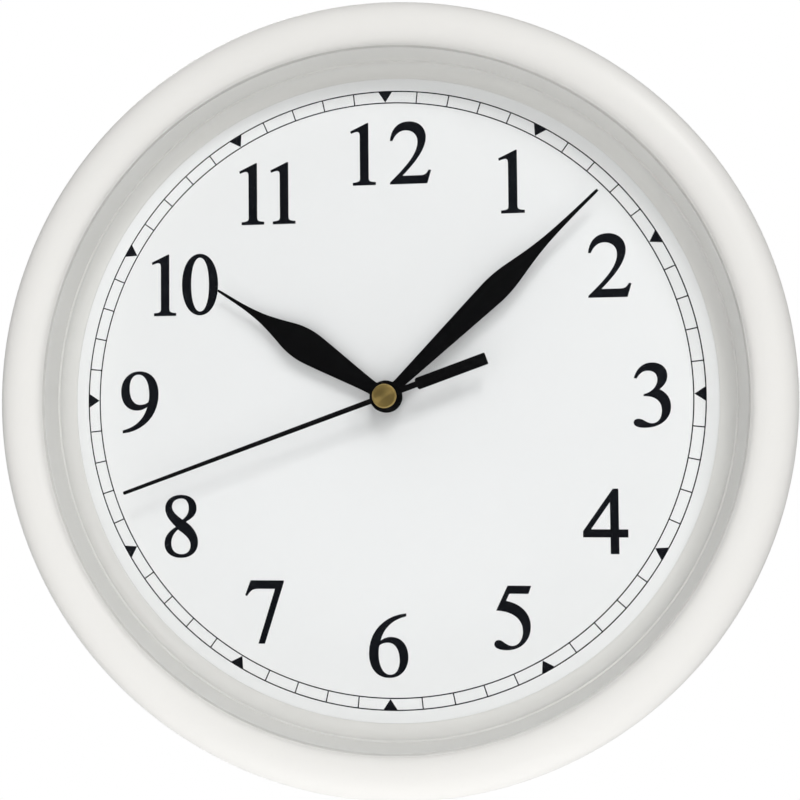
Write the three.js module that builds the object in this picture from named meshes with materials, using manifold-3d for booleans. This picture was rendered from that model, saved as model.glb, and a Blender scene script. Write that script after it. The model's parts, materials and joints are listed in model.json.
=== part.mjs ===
// A round quartz wall clock, in millimetres, +Z up.
//
// The clock hangs on a wall that is the plane Y = 0, with its dial facing -Y. The origin is the point
// where the wall screw bears in the keyhole of the hanger plate. Depths are written as distances from
// the wall: a depth d lies at Y = -d. The hands turn about an axis along Y that is HANG_DROP below
// the origin, and every piece is modelled about that axis and lowered with the outer group.
import * as THREE from 'three';
import Module from 'manifold-3d';
import { mergeVertices } from 'three/addons/utils/BufferGeometryUtils.js';

const wasm = await Module();
wasm.setup();

// ---- driving dimensions -------------------------------------------------------------------------
const HANG_DROP = 109;            // origin (wall screw) down to the hands' axis
const CASE_RADIUS = 127;          // 10-inch clock
const CASE_DEPTH = 39;            // wall to the crest of the ring
const CASE_WALL = 2.4;            // moulded wall thickness
const RING_SEGMENTS = 60;

const DIAL_DEPTH = 19.3;          // wall to the printed face
const CARD_THICKNESS = 0.35;
const CARD_RADIUS = 109.2;
const PLATE_THICKNESS = 2;
const PLATE_RADIUS = 123.2;
const FLANGE_RADIUS = 106.5;      // opening of the ring over the dial
const WALL_RADIUS = 111.1;        // inner wall between the dial and the lens
const LIP_RADIUS = 111.3;         // lip that covers the edge of the lens
const LENS_BACK = 34.1;
const LENS_THICKNESS = 1.2;
const LENS_RADIUS = 112.9;
const CREST_RADIUS = 117.6;
const CREST_RISE = 3.3;           // lip up to the crest
const SHOULDER_DEPTH = 30;        // where the outer round-over meets the side
const COVE_WIDTH = 4;             // hollow moulding between the dial and the wall
const COVE_HEIGHT = 3.8;
const FLANGE_EDGE = 0.6;
const BOSS_CIRCLE = 118.8;        // screws that hold the dial plate in the ring
const BOSS_ANGLES = [45, 135, 225, 315];
const BOSS_RADIUS = 3.6;
const BOSS_FRONT = 34.6;          // where the bosses run into the back of the crest
const HOLLOW_CURVE = [[123, 33.2], [120.6, 35.6], [117.6, 36.5], [115.4, 35.6], [115, 33]];   // behind the crest

const MOVEMENT_SIZE = 56;
const MOVEMENT_BACK = 3;
const MOVEMENT_FRONT = 16.8;
const MOVEMENT_WALL = 1.2;
const COVER_THICKNESS = 1;
const POST_PLACES = [[-24.4, 9.8], [24.4, 23]];   // posts for the two cover screws

const HOUR_DEPTH = 23.9;          // rear face of each hand
const MINUTE_DEPTH = 27.3;
const SECOND_DEPTH = 30.9;
const HAND_THICKNESS = 0.4;
const HOUR_ANGLE = 302.6;         // degrees clockwise from twelve, as the hands stand at rest
const MINUTE_ANGLE = 46.3;
const SECOND_ANGLE = 250.1;

const ARBOR_RADIUS = 0.45;        // second arbor
const CANNON_BORE = 0.8;
const CANNON_RADIUS = 1.4;
const HOUR_BORE = 1.75;
const HOUR_TUBE_RADIUS = 2.5;
const BUSH_BORE = 2.85;
const BUSH_RADIUS = 4.4;
const HUB_RADIUS = 5.2;
const SCREW_PILOT = 1.6;
const FIT_GAP = 0.3;              // clearance between a piece and its neighbour
const SEAT_GAP = 0.05;            // clearance under a piece that rests on a flat face

// Going train (rotor, step wheel, second wheel, third wheel, centre wheel) and motion work (cannon
// pinion, minute wheel, hour wheel): teeth, centre distances, and shaft places about the hands' axis.
const TEETH = {
  rotor: 8, step: 40, stepPinion: 8, second: 48, secondPinion: 6, third: 45, thirdPinion: 6, centre: 48,
  cannon: 10, minute: 30, minutePinion: 8, hour: 32,
};
const SECOND_DISTANCE = 10.08;
const THIRD_DISTANCE = 10.2;
const MOTION_DISTANCE = 10.6;
const SECOND_MODULE = moduleFor(SECOND_DISTANCE, TEETH.stepPinion, TEETH.second);
const THIRD_MODULE = moduleFor(THIRD_DISTANCE, TEETH.secondPinion, TEETH.third);
const CENTRE_MODULE = moduleFor(THIRD_DISTANCE, TEETH.thirdPinion, TEETH.centre);
const MOTION_MODULE = moduleFor(MOTION_DISTANCE, TEETH.cannon, TEETH.minute);
const STEP_AXIS = polar(SECOND_DISTANCE, 180);
const ROTOR_AXIS = offset(STEP_AXIS, (TEETH.rotor + TEETH.step) / 2 * SECOND_MODULE, 100);
const THIRD_AXIS = polar(THIRD_DISTANCE, 70);
const MOTION_AXIS = polar(MOTION_DISTANCE, 0);

const BATTERY_RADIUS = 7.25;
const BATTERY_LENGTH = 49;
const BATTERY_Z = -19.45;
const BATTERY_DEPTH = 8.1;
const BAY_WALL_Z = -11.6;

// ---- materials ----------------------------------------------------------------------------------
const material = (color, roughness, metalness = 0, extra = {}) =>
  new THREE.MeshStandardMaterial({ color, roughness, metalness, ...extra });

const FINISH = {
  whitePlastic: () => material(0xe9e9e4, 0.45),
  clearPlastic: () => material(0xffffff, 0.05, 0, { transparent: true, opacity: 0.12 }),
  card: () => material(0xf1f2f3, 0.8),
  blackPaint: () => material(0x0c0c0e, 0.55),
  brass: () => material(0xa98b45, 0.3, 1),
  steel: () => material(0xb7bbbe, 0.35, 1),
  blackPlastic: () => material(0x1b1b1c, 0.6),
  acetal: () => material(0xf0ede2, 0.5),
  copper: () => material(0xb4562c, 0.35, 1),
  boardGreen: () => material(0x1d6b3a, 0.6),
  ferrite: () => material(0x33343a, 0.5),
  batteryJacket: () => material(0x2c5fa8, 0.4),
};

// ---- geometry helpers ---------------------------------------------------------------------------
function polar(radius, degrees) {
  const a = THREE.MathUtils.degToRad(degrees);
  return [radius * Math.cos(a), radius * Math.sin(a)];
}

function moduleFor(distance, teethA, teethB) {
  return 2 * distance / (teethA + teethB);
}

function offset([x, z], radius, degrees) {
  const [dx, dz] = polar(radius, degrees);
  return [x + dx, z + dz];
}

// A closed three.js geometry as a Manifold with its faces pointing out.
function solid(geometry) {
  const bare = geometry.index ? geometry.toNonIndexed() : geometry.clone();
  for (const name of Object.keys(bare.attributes)) {
    if (name !== 'position') bare.deleteAttribute(name);
  }
  const merged = mergeVertices(bare, 1e-4);
  const points = merged.attributes.position;
  const triangles = [];
  let volume = 0;
  const a = new THREE.Vector3();
  const b = new THREE.Vector3();
  const c = new THREE.Vector3();
  for (let i = 0; i < merged.index.count; i += 3) {
    const tri = [0, 1, 2].map((k) => merged.index.getX(i + k));
    if (tri[0] === tri[1] || tri[1] === tri[2] || tri[2] === tri[0]) continue;
    triangles.push(tri);
    a.fromBufferAttribute(points, tri[0]);
    b.fromBufferAttribute(points, tri[1]);
    c.fromBufferAttribute(points, tri[2]);
    volume += a.dot(b.cross(c));
  }
  const wound = volume < 0 ? triangles.map(([p, q, r]) => [p, r, q]) : triangles;
  return new wasm.Manifold(new wasm.Mesh({
    numProp: 3,
    vertProperties: new Float32Array(points.array),
    triVerts: new Uint32Array(wound.flat()),
  }));
}

function join(...pieces) {
  return pieces.reduce((whole, piece) => whole.add(piece));
}

function cut(body, ...tools) {
  return tools.reduce((whole, tool) => whole.subtract(tool), body);
}

// Outline of [x, z] points, thick from depth `back` towards the front.
function slab(outline, back, thickness, holes = []) {
  const shape = outline instanceof THREE.Shape ? outline : polygon(outline);
  for (const hole of holes) shape.holes.push(polygon(hole));
  const geometry = new THREE.ExtrudeGeometry(shape, {
    depth: thickness, bevelEnabled: false, curveSegments: 10,
  });
  geometry.rotateX(Math.PI / 2);
  geometry.translate(0, -back, 0);
  return solid(geometry);
}

function polygon(points) {
  return new THREE.Shape(points.map(([x, z]) => new THREE.Vector2(x, z)));
}

// Profile of [radius, depth] points, turned about the hands' axis.
function turned(profile, segments = 32) {
  const points = [...profile, profile[0]].map(([r, d]) => new THREE.Vector2(r, -d));
  return solid(new THREE.LatheGeometry(points, segments));
}

function rod(radius, back, front, segments = 16, [x, z] = [0, 0]) {
  const geometry = new THREE.CylinderGeometry(radius, radius, front - back, segments);
  geometry.translate(x, -(back + front) / 2, z);
  return solid(geometry);
}

function tube(bore, radius, back, front, segments = 24) {
  return turned([[bore, back], [radius, back], [radius, front], [bore, front]], segments);
}

// Box between two corners given as [x, depth, z].
function box([x0, d0, z0], [x1, d1, z1]) {
  const geometry = new THREE.BoxGeometry(x1 - x0, d1 - d0, z1 - z0);
  geometry.translate((x0 + x1) / 2, -(d0 + d1) / 2, (z0 + z1) / 2);
  return solid(geometry);
}

// Rod along X, for the battery and the coil.
function barAlongX(radius, x0, x1, depth, z, segments = 20) {
  const geometry = new THREE.CylinderGeometry(radius, radius, x1 - x0, segments);
  geometry.rotateZ(Math.PI / 2);
  geometry.translate((x0 + x1) / 2, -depth, z);
  return solid(geometry);
}

function arc(cx, cz, radius, from, to, steps) {
  return Array.from({ length: steps + 1 }, (_, i) =>
    offset([cx, cz], radius, from + (to - from) * i / steps));
}

// Spur gear outline with straight-sided teeth and running clearance. `facing` is the direction in
// degrees that a tooth points to, or a space if `space` is true. A pinion's teeth have flat tips and
// a wheel's many fine teeth are pointed.
const PINION_TEETH = 10;

function gearOutline(teeth, module, facing, space = false) {
  const pitch = module * teeth / 2;
  const tip = pitch + 0.72 * module;
  const root = pitch - 1.1 * module;
  const step = 360 / teeth;
  const start = facing + (space ? step / 2 : 0);
  const isPinion = teeth <= PINION_TEETH;
  const outline = [];
  for (let i = 0; i < teeth; i += 1) {
    const centre = start + i * step;
    if (isPinion) {
      outline.push(polar(root, centre - 0.27 * step));
      outline.push(polar(tip, centre - 0.09 * step));
      outline.push(polar(tip, centre + 0.09 * step));
      outline.push(polar(root, centre + 0.27 * step));
    } else {
      outline.push(polar(tip, centre));
      outline.push(polar(root, centre + 0.5 * step));
    }
  }
  return outline;
}

function gear(teeth, module, facing, space, back, thickness) {
  return slab(gearOutline(teeth, module, facing, space), back, thickness);
}

const clock = new THREE.Group();
clock.name = 'wall_clock';
clock.position.set(0, 0, -HANG_DROP);

// Adds one piece to the clock. The piece is modelled about its own [x, z] shaft place.
function add(name, body, finish, [x, z] = [0, 0]) {
  const { numProp, vertProperties, triVerts } = body.getMesh();
  const points = new Float32Array(vertProperties.length / numProp * 3);
  for (let i = 0; i < points.length / 3; i += 1) {
    for (let k = 0; k < 3; k += 1) points[3 * i + k] = vertProperties[numProp * i + k];
  }
  const geometry = new THREE.BufferGeometry();
  geometry.setAttribute('position', new THREE.BufferAttribute(points, 3));
  geometry.setIndex(new THREE.BufferAttribute(new Uint32Array(triVerts), 1));
  geometry.computeVertexNormals();
  const mesh = new THREE.Mesh(geometry, finish);
  mesh.name = name;
  mesh.position.set(x, 0, z);
  clock.add(mesh);
  return mesh;
}

// ---- case: ring, lens, card and plate -----------------------------------------------------------
function caseRing() {
  const flangeBack = DIAL_DEPTH + FIT_GAP;
  const coveFoot = flangeBack + FLANGE_EDGE;
  const ledge = coveFoot + COVE_HEIGHT;
  const coveSteps = 3;
  const cove = Array.from({ length: coveSteps + 1 }, (_, i) => {
    const a = Math.PI / 2 * i / coveSteps;
    return [FLANGE_RADIUS + COVE_WIDTH * Math.sin(a), coveFoot + COVE_HEIGHT * (1 - Math.cos(a))];
  });
  const grooveBack = LENS_BACK - 0.15;
  const grooveFront = LENS_BACK + LENS_THICKNESS + 0.2;
  const grooveRadius = LENS_RADIUS + FIT_GAP;
  const crestFoot = CASE_DEPTH - CREST_RISE;
  const crestInner = quarter([CREST_RADIUS, crestFoot], LIP_RADIUS + 0.2 - CREST_RADIUS, CREST_RISE, 3);
  const crestOuter = quarter([CREST_RADIUS, SHOULDER_DEPTH], CASE_RADIUS - CREST_RADIUS,
    CASE_DEPTH - SHOULDER_DEPTH, 5).reverse();
  const rimOuter = CASE_RADIUS - 1;
  const rimInner = rimOuter - CASE_WALL;
  const wallOuter = WALL_RADIUS + CASE_WALL;
  const profile = [
    [FLANGE_RADIUS, flangeBack],
    ...cove,
    [WALL_RADIUS, ledge + 0.25],
    [WALL_RADIUS, grooveBack],
    [grooveRadius, grooveBack],
    [grooveRadius, grooveFront],
    [LIP_RADIUS, grooveFront],
    ...crestInner,
    ...crestOuter.slice(1),
    [CASE_RADIUS - 0.6, 6],
    [rimOuter, 0],
    [rimInner, 0],
    [rimInner + 0.9, SHOULDER_DEPTH],
    ...HOLLOW_CURVE,
    [wallOuter, grooveBack - CASE_WALL],
    [wallOuter - 0.2, flangeBack],
  ];
  const places = BOSS_ANGLES.map((angle) => polar(BOSS_CIRCLE, angle));
  const bosses = places.map((place) => rod(BOSS_RADIUS, flangeBack - 0.1, BOSS_FRONT, 12, place));
  const pilots = places.map((place) => rod(SCREW_PILOT, flangeBack - 1, 30, 10, place));
  return cut(join(turned(profile, RING_SEGMENTS), ...bosses), ...pilots);
}

// Quarter of an ellipse from its side point to its front point, as [radius, depth] about a centre.
function quarter([radius, depth], reach, rise, steps) {
  return Array.from({ length: steps + 1 }, (_, i) => {
    const a = Math.PI / 2 * i / steps;
    return [radius + reach * Math.cos(a), depth + rise * Math.sin(a)];
  });
}

add('case_ring', caseRing(), FINISH.whitePlastic());
add('lens', turned([[0, LENS_BACK], [LENS_RADIUS, LENS_BACK], [LENS_RADIUS, LENS_BACK + LENS_THICKNESS],
  [0, LENS_BACK + LENS_THICKNESS]], RING_SEGMENTS), FINISH.clearPlastic());
add('dial_card', tube(BUSH_RADIUS + FIT_GAP, CARD_RADIUS, DIAL_DEPTH - CARD_THICKNESS, DIAL_DEPTH,
  RING_SEGMENTS), FINISH.card());

const PLATE_FRONT = DIAL_DEPTH - CARD_THICKNESS - SEAT_GAP;
const PLATE_BACK = PLATE_FRONT - PLATE_THICKNESS;
const HANGER_Z = 106;
const HANGER_SPAN = 16;
const HANGER_BACK = 2.2;
const HANGER_THICKNESS = 1.2;

function dialPlate() {
  const disc = tube(BUSH_RADIUS + FIT_GAP, PLATE_RADIUS, PLATE_BACK, PLATE_FRONT, RING_SEGMENTS);
  const ribDepth = 3;
  const ribWidth = 1.6;
  const ribInner = 63;
  const ribLength = 44;
  const root = 0.5;                // how far ribs, pillars and hooks run into the plate
  const ringRib = tube(ribInner - 1, ribInner + 0.6, PLATE_BACK - ribDepth, PLATE_BACK + root, 48);
  const ribs = [0, 45, 90, 135, 180, 225, 270, 315].map((angle) => {
    const geometry = new THREE.BoxGeometry(ribLength, ribDepth + root, ribWidth);
    geometry.translate(ribInner + ribLength / 2, -(PLATE_BACK + (root - ribDepth) / 2), 0);
    geometry.rotateY(-THREE.MathUtils.degToRad(angle));
    return solid(geometry);
  });
  const pillars = [-1, 1].map((side) => rod(3.6, HANGER_BACK + HANGER_THICKNESS + SEAT_GAP,
    PLATE_BACK + root, 16, [side * HANGER_SPAN, HANGER_Z]));
  const half = MOVEMENT_SIZE / 2;
  const [hookBack, hookLow, hookHigh] = [1.2, 4, 14];
  const hooks = [-1, 1].flatMap((side) => {
    const outer = side * (half + FIT_GAP + 1.8);
    const arm = [side * (half + FIT_GAP), outer].sort((a, b) => a - b);
    const barb = [side * (half - 1.2), outer].sort((a, b) => a - b);
    return [
      box([arm[0], hookBack, hookLow], [arm[1], PLATE_BACK + root, hookHigh]),
      box([barb[0], hookBack, hookLow], [barb[1], MOVEMENT_BACK - FIT_GAP, hookHigh]),
    ];
  });
  const bossHoles = BOSS_ANGLES.map((angle) => rod(1.7, 0, 30, 12, polar(BOSS_CIRCLE, angle)));
  const pilots = [-1, 1].map((side) => rod(1.3, 0, 12, 10, [side * HANGER_SPAN, HANGER_Z]));
  return cut(join(disc, ringRib, ...ribs, ...pillars, ...hooks), ...bossHoles, ...pilots);
}

add('dial_plate', dialPlate(), FINISH.whitePlastic());

// Pan-head screw with a cross recess, driven towards the front.
function screw(headBack, headRadius, headHeight, shankRadius, shankEnd) {
  const head = turned([[0, headBack], [headRadius * 0.7, headBack], [headRadius, headBack + headHeight * 0.5],
    [headRadius, headBack + headHeight], [shankRadius, headBack + headHeight], [shankRadius, shankEnd - 0.8],
    [0, shankEnd]], 12);
  const blade = headRadius * 0.62;
  const slot = 0.35;
  const slots = [
    box([-blade, headBack - 1, -slot], [blade, headBack + headHeight * 0.55, slot]),
    box([-slot, headBack - 1, -blade], [slot, headBack + headHeight * 0.55, blade]),
  ];
  return cut(head, ...slots);
}

BOSS_ANGLES.forEach((angle, i) => {
  add(`plate_screw_${i + 1}`, screw(PLATE_BACK - 1.9, 3, 1.8, 1.3, 28), FINISH.steel(),
    polar(BOSS_CIRCLE, angle));
});

// ---- hanger -------------------------------------------------------------------------------------
function hangerPlate() {
  const halfWidth = 22;
  const bottom = 95;
  const top = 117;
  const corner = 3;
  const outline = [
    ...arc(halfWidth - corner, bottom + corner, corner, -90, 0, 3),
    ...arc(halfWidth - corner, top - corner, corner, 0, 90, 3),
    ...arc(-halfWidth + corner, top - corner, corner, 90, 180, 3),
    ...arc(-halfWidth + corner, bottom + corner, corner, 180, 270, 3),
  ];
  // Keyhole: a wide round entry below a narrow slot whose rounded top is the hanging point.
  const slot = 2.1;
  const entry = 4.2;
  const entryZ = 101.5;
  const slotZ = HANG_DROP - slot;
  const meet = THREE.MathUtils.radToDeg(Math.asin(slot / entry));
  const keyhole = [
    ...arc(0, slotZ, slot, 0, 180, 8),
    ...arc(0, entryZ, entry, 90 + meet, 450 - meet, 16),
  ];
  const plate = slab(outline, HANGER_BACK, HANGER_THICKNESS, [keyhole.reverse()]);
  const holes = [-1, 1].map((side) => rod(1.7, 0, 8, 12, [side * HANGER_SPAN, HANGER_Z]));
  return cut(plate, ...holes);
}

add('hanger_plate', hangerPlate(), FINISH.steel());
[-1, 1].forEach((side, i) => {
  add(`hanger_screw_${i + 1}`, screw(HANGER_BACK - 1.55, 2.8, 1.5, 1, 9), FINISH.steel(),
    [side * HANGER_SPAN, HANGER_Z]);
});

// ---- movement housing ---------------------------------------------------------------------------
const HALF = MOVEMENT_SIZE / 2;
const COVER_FRONT = MOVEMENT_BACK + COVER_THICKNESS;

function movementHousing() {
  const shell = box([-HALF, MOVEMENT_BACK, -HALF], [HALF, MOVEMENT_FRONT, HALF]);
  const inner = HALF - MOVEMENT_WALL;
  const trainRoom = box([-inner, -5, BAY_WALL_Z + 0.5], [inner, MOVEMENT_FRONT - MOVEMENT_WALL, inner]);
  const coverSeat = box([-HALF + 0.6, -5, BAY_WALL_Z + 0.2], [HALF - 0.6, COVER_FRONT + 0.1, HALF - 0.6]);
  const bay = box([-inner, -5, -HALF + 1], [inner, MOVEMENT_FRONT - MOVEMENT_WALL, BAY_WALL_Z - 0.4]);
  const bush = rod(BUSH_RADIUS, MOVEMENT_FRONT - 0.5, 22.6, 24);
  const bore = rod(BUSH_BORE, 10, 30, 24);
  const posts = POST_PLACES.map((place) => rod(2, COVER_FRONT + 0.15, MOVEMENT_FRONT - 1, 12, place));
  const postHoles = POST_PLACES.map((place) => rod(1.1, 0, 12, 10, place));
  return cut(join(cut(shell, trainRoom, coverSeat, bay), bush, ...posts), bore, ...postHoles);
}

function movementCover() {
  const edge = HALF - 0.6 - FIT_GAP;
  const plate = box([-edge, MOVEMENT_BACK, BAY_WALL_Z + 0.5], [edge, COVER_FRONT, edge]);
  const knobHole = rod(1.7, 0, 10, 20, MOTION_AXIS);
  const screwHoles = POST_PLACES.map((place) => rod(1.4, 0, 10, 12, place));
  const bearings = [[0, 0], STEP_AXIS, THIRD_AXIS, ROTOR_AXIS];
  const cups = bearings.map((place) => rod(1.6, MOVEMENT_BACK - 0.8, MOVEMENT_BACK + 0.2, 12, place));
  const pivots = bearings.map((place) => rod(0.75, MOVEMENT_BACK - 0.2, 10, 10, place));
  return cut(join(plate, ...cups), knobHole, ...screwHoles, ...pivots);
}

add('movement_housing', movementHousing(), FINISH.blackPlastic());
add('movement_cover', movementCover(), FINISH.blackPlastic());
POST_PLACES.forEach((place, i) => {
  add(`cover_screw_${i + 1}`, screw(MOVEMENT_BACK - 1.3, 2, 1.2, 0.8, 10), FINISH.steel(), place);
});

// ---- battery and contacts -----------------------------------------------------------------------
function battery() {
  const left = -BATTERY_LENGTH / 2 + 0.2;
  const right = left + BATTERY_LENGTH;
  const can = barAlongX(BATTERY_RADIUS, left, right, BATTERY_DEPTH, BATTERY_Z, 32);
  const nub = barAlongX(2.6, right - 0.5, right + 1.4, BATTERY_DEPTH, BATTERY_Z, 20);
  return join(can, nub);
}

function batteryContact() {
  const face = HALF - MOVEMENT_WALL - 0.1;
  const blade = box([face - 0.4, 4, BATTERY_Z - 4], [face, 13, BATTERY_Z + 4]);
  const lip = box([face - 0.4, 3.6, BATTERY_Z - 2], [face, 4.2, BATTERY_Z + 2]);
  return join(blade, lip);
}

// Conical wire spring, as a helix of round section on a flat backing blade.
class ConicalHelix extends THREE.Curve {
  constructor(x0, length, turns, wide, narrow) {
    super();
    Object.assign(this, { x0, length, turns, wide, narrow });
  }

  getPoint(t, target = new THREE.Vector3()) {
    const a = 2 * Math.PI * this.turns * t;
    const radius = this.wide + (this.narrow - this.wide) * t;
    return target.set(this.x0 + this.length * t, radius * Math.sin(a) - BATTERY_DEPTH,
      radius * Math.cos(a) + BATTERY_Z);
  }
}

function batterySpring() {
  const face = -HALF + MOVEMENT_WALL + 0.1;
  const blade = box([face, 4, BATTERY_Z - 5], [face + 0.4, 13, BATTERY_Z + 5]);
  const wire = new THREE.Shape(arc(0, 0, 0.3, 0, 300, 5).map(([x, y]) => new THREE.Vector2(x, y)));
  const coil = new THREE.ExtrudeGeometry(wire, {
    steps: 32, bevelEnabled: false, extrudePath: new ConicalHelix(face + 0.25, 1.6, 2.2, 4, 2.2),
  });
  return join(blade, solid(coil));
}

add('battery', battery(), FINISH.batteryJacket());
add('battery_contact', batteryContact(), FINISH.steel());
add('battery_spring', batterySpring(), FINISH.steel());

// ---- electronics and motor ----------------------------------------------------------------------
const COIL_Z = 21.6;
const COIL_DEPTH = 8.8;
const COIL_LEFT = -22.5;
const COIL_RIGHT = -3.5;

add('circuit_board', box([6, 13.2, 14.6], [21.5, 14, 26]), FINISH.boardGreen());
add('clock_chip', box([8.5, 11.9, 17], [13.5, 13.15, 22]), FINISH.blackPlastic());
add('quartz_crystal', join(barAlongX(1.5, 13, 21, 11.5, 24, 16), barAlongX(1.1, 12.6, 13.2, 11.5, 24, 12)),
  FINISH.steel());
add('coil_core', box([COIL_LEFT - 2.6, COIL_DEPTH - 0.6, COIL_Z - 1], [COIL_RIGHT + 2.6, COIL_DEPTH + 0.6,
  COIL_Z + 1]), FINISH.ferrite());
add('coil_bobbin', cut(join(barAlongX(2, COIL_LEFT, COIL_RIGHT, COIL_DEPTH, COIL_Z, 20),
  barAlongX(4.6, COIL_LEFT, COIL_LEFT + 1, COIL_DEPTH, COIL_Z, 20),
  barAlongX(4.6, COIL_RIGHT - 1, COIL_RIGHT, COIL_DEPTH, COIL_Z, 20)),
box([COIL_LEFT - 5, COIL_DEPTH - 0.9, COIL_Z - 1.3], [COIL_RIGHT + 5, COIL_DEPTH + 0.9, COIL_Z + 1.3])),
FINISH.acetal());
add('coil_winding', cut(barAlongX(4.2, COIL_LEFT + 1.3, COIL_RIGHT - 1.3, COIL_DEPTH, COIL_Z, 24),
  barAlongX(2.3, COIL_LEFT - 2, COIL_RIGHT + 2, COIL_DEPTH, COIL_Z, 24)), FINISH.copper());

const MAGNET_BACK = 5.6;
const MAGNET_FRONT = 7.2;
const STATOR_BACK = 5.9;
const STATOR_FRONT = 6.8;

// Soft-iron plate round the rotor, with two legs that reach up to the ends of the coil's core.
function statorPlate() {
  const [x, z] = ROTOR_AXIS;
  const yoke = box([COIL_LEFT - 2.6, STATOR_BACK, 12.4], [COIL_RIGHT + 2.6, STATOR_FRONT, 15.4]);
  const body = box([x - 5.4, STATOR_BACK, z - 4.6], [x + 5.4, STATOR_FRONT, 13]);
  const legs = [[COIL_LEFT - 2.6, COIL_LEFT - 0.3], [COIL_RIGHT + 0.3, COIL_RIGHT + 2.6]].flatMap(([x0, x1]) => [
    box([x0, STATOR_BACK, 15], [x1, STATOR_FRONT, COIL_Z + 1]),
    box([x0, STATOR_BACK, COIL_Z - 1], [x1, COIL_DEPTH - 0.6 - SEAT_GAP, COIL_Z + 1]),
  ]);
  return cut(join(yoke, body, ...legs), rod(3.5, 0, 20, 20, ROTOR_AXIS));
}

add('stator_plate', statorPlate(), FINISH.steel());

// ---- wheels -------------------------------------------------------------------------------------
const SEGMENTS = 12;
const PIVOT_BACK = MOVEMENT_BACK + 0.1;
const PIVOT_FRONT = MOVEMENT_FRONT - MOVEMENT_WALL - FIT_GAP;
const KNOB_BACK = 0.5;
const KNOB_FRONT = 2.4;
const direction = ([x, z]) => THREE.MathUtils.radToDeg(Math.atan2(z, x));
const STEP_TO_ROTOR = direction([ROTOR_AXIS[0] - STEP_AXIS[0], ROTOR_AXIS[1] - STEP_AXIS[1]]);
const THIRD_ANGLE = direction(THIRD_AXIS);

add('rotor_magnet', tube(0.85, 3, MAGNET_BACK, MAGNET_FRONT, 20), FINISH.ferrite(), ROTOR_AXIS);
add('rotor_pinion', join(gear(TEETH.rotor, SECOND_MODULE, STEP_TO_ROTOR + 180, true, 4.2, 1),
  rod(0.5, PIVOT_BACK, 9.5, SEGMENTS)), FINISH.acetal(), ROTOR_AXIS);
add('step_wheel', join(gear(TEETH.step, SECOND_MODULE, STEP_TO_ROTOR, false, 4.4, 0.6),
  gear(TEETH.stepPinion, SECOND_MODULE, 0, true, 5, 1.2), rod(0.5, PIVOT_BACK, PIVOT_FRONT, SEGMENTS)),
FINISH.acetal(), STEP_AXIS);
add('second_wheel', join(gear(TEETH.second, SECOND_MODULE, 180, false, 5.1, 0.6),
  gear(TEETH.secondPinion, THIRD_MODULE, THIRD_ANGLE, true, 5.7, 2.2),
  rod(ARBOR_RADIUS, PIVOT_BACK, SECOND_DEPTH + 0.3, SEGMENTS)), FINISH.acetal());
add('third_wheel', join(gear(TEETH.third, THIRD_MODULE, THIRD_ANGLE + 180, false, 7, 0.6),
  gear(TEETH.thirdPinion, CENTRE_MODULE, THIRD_ANGLE + 180, true, 7.6, 2.2),
  rod(0.5, PIVOT_BACK, PIVOT_FRONT, SEGMENTS)), FINISH.acetal(), THIRD_AXIS);
add('centre_wheel', cut(join(gear(TEETH.centre, CENTRE_MODULE, THIRD_ANGLE, false, 8.6, 0.6),
  rod(2.4, 8.3, 9.6, 20)), rod(CANNON_RADIUS + FIT_GAP, 0, 20, 20)), FINISH.acetal());
add('cannon_pinion', cut(join(gear(TEETH.cannon, MOTION_MODULE, 0, true, 10.2, 1.4),
  rod(CANNON_RADIUS, 8.2, MINUTE_DEPTH + HAND_THICKNESS + 0.3, 24)), rod(CANNON_BORE, 0, 40, 16)),
FINISH.acetal());
add('minute_wheel', join(gear(TEETH.minute, MOTION_MODULE, 180, false, 10.6, 0.6),
  gear(TEETH.minutePinion, MOTION_MODULE, 180, true, 11.2, 2.2),
  rod(0.8, KNOB_FRONT + SEAT_GAP, PIVOT_FRONT, SEGMENTS)), FINISH.acetal(), MOTION_AXIS);
add('hour_wheel', cut(join(gear(TEETH.hour, MOTION_MODULE, 0, false, 12.4, 0.6),
  rod(HOUR_TUBE_RADIUS, 12.2, HOUR_DEPTH + HAND_THICKNESS + 0.3, 24)), rod(HOUR_BORE, 0, 40, 24)),
FINISH.acetal());

function settingKnob() {
  const knurls = 20;
  const outline = Array.from({ length: 2 * knurls }, (_, i) => polar(i % 2 ? 5.5 : 5.1, i * 180 / knurls));
  return cut(slab(outline, KNOB_BACK, KNOB_FRONT - KNOB_BACK), box([-3.4, 0, -0.5], [3.4, 1, 0.5]));
}

add('setting_knob', settingKnob(), FINISH.blackPlastic(), MOTION_AXIS);

// ---- hands --------------------------------------------------------------------------------------
// A blade from [distance from the axis, half width] pairs, pointing to twelve.
function handBlade(stations, back) {
  const right = stations.map(([u, w]) => [w, u]);
  const left = stations.map(([u, w]) => [-w, u]).reverse();
  return slab([...right, ...left], back, HAND_THICKNESS);
}

const HOUR_STATIONS = [[3, 1.9], [10, 2.7], [18, 3.8], [26, 4.9], [30, 5.35], [32, 5.42], [34, 5.3],
  [36, 5.05], [38, 4.6], [40, 4], [42, 3.4], [44, 2.82], [46, 2.3], [48, 1.82], [50, 1.45], [53, 1.05],
  [56, 0.76], [60, 0.58], [66.1, 0.42], [66.7, 0.2]];
const MINUTE_STATIONS = [[3, 1.5], [8, 1.85], [20, 2.55], [35, 3.45], [46, 4.08], [49, 4.2], [52, 4.08],
  [54, 3.88], [56, 3.6], [60, 2.9], [65, 2.05], [70, 1.42], [75, 1.02], [80, 0.78], [86, 0.6],
  [93.4, 0.48], [94, 0.2]];

function leafHand(stations, back, hole, clockwise) {
  const hand = join(handBlade(stations, back), rod(HUB_RADIUS, back, back + HAND_THICKNESS, 40));
  return cut(hand.rotate([0, clockwise, 0]), rod(hole, 0, 60, 24));
}

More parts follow.
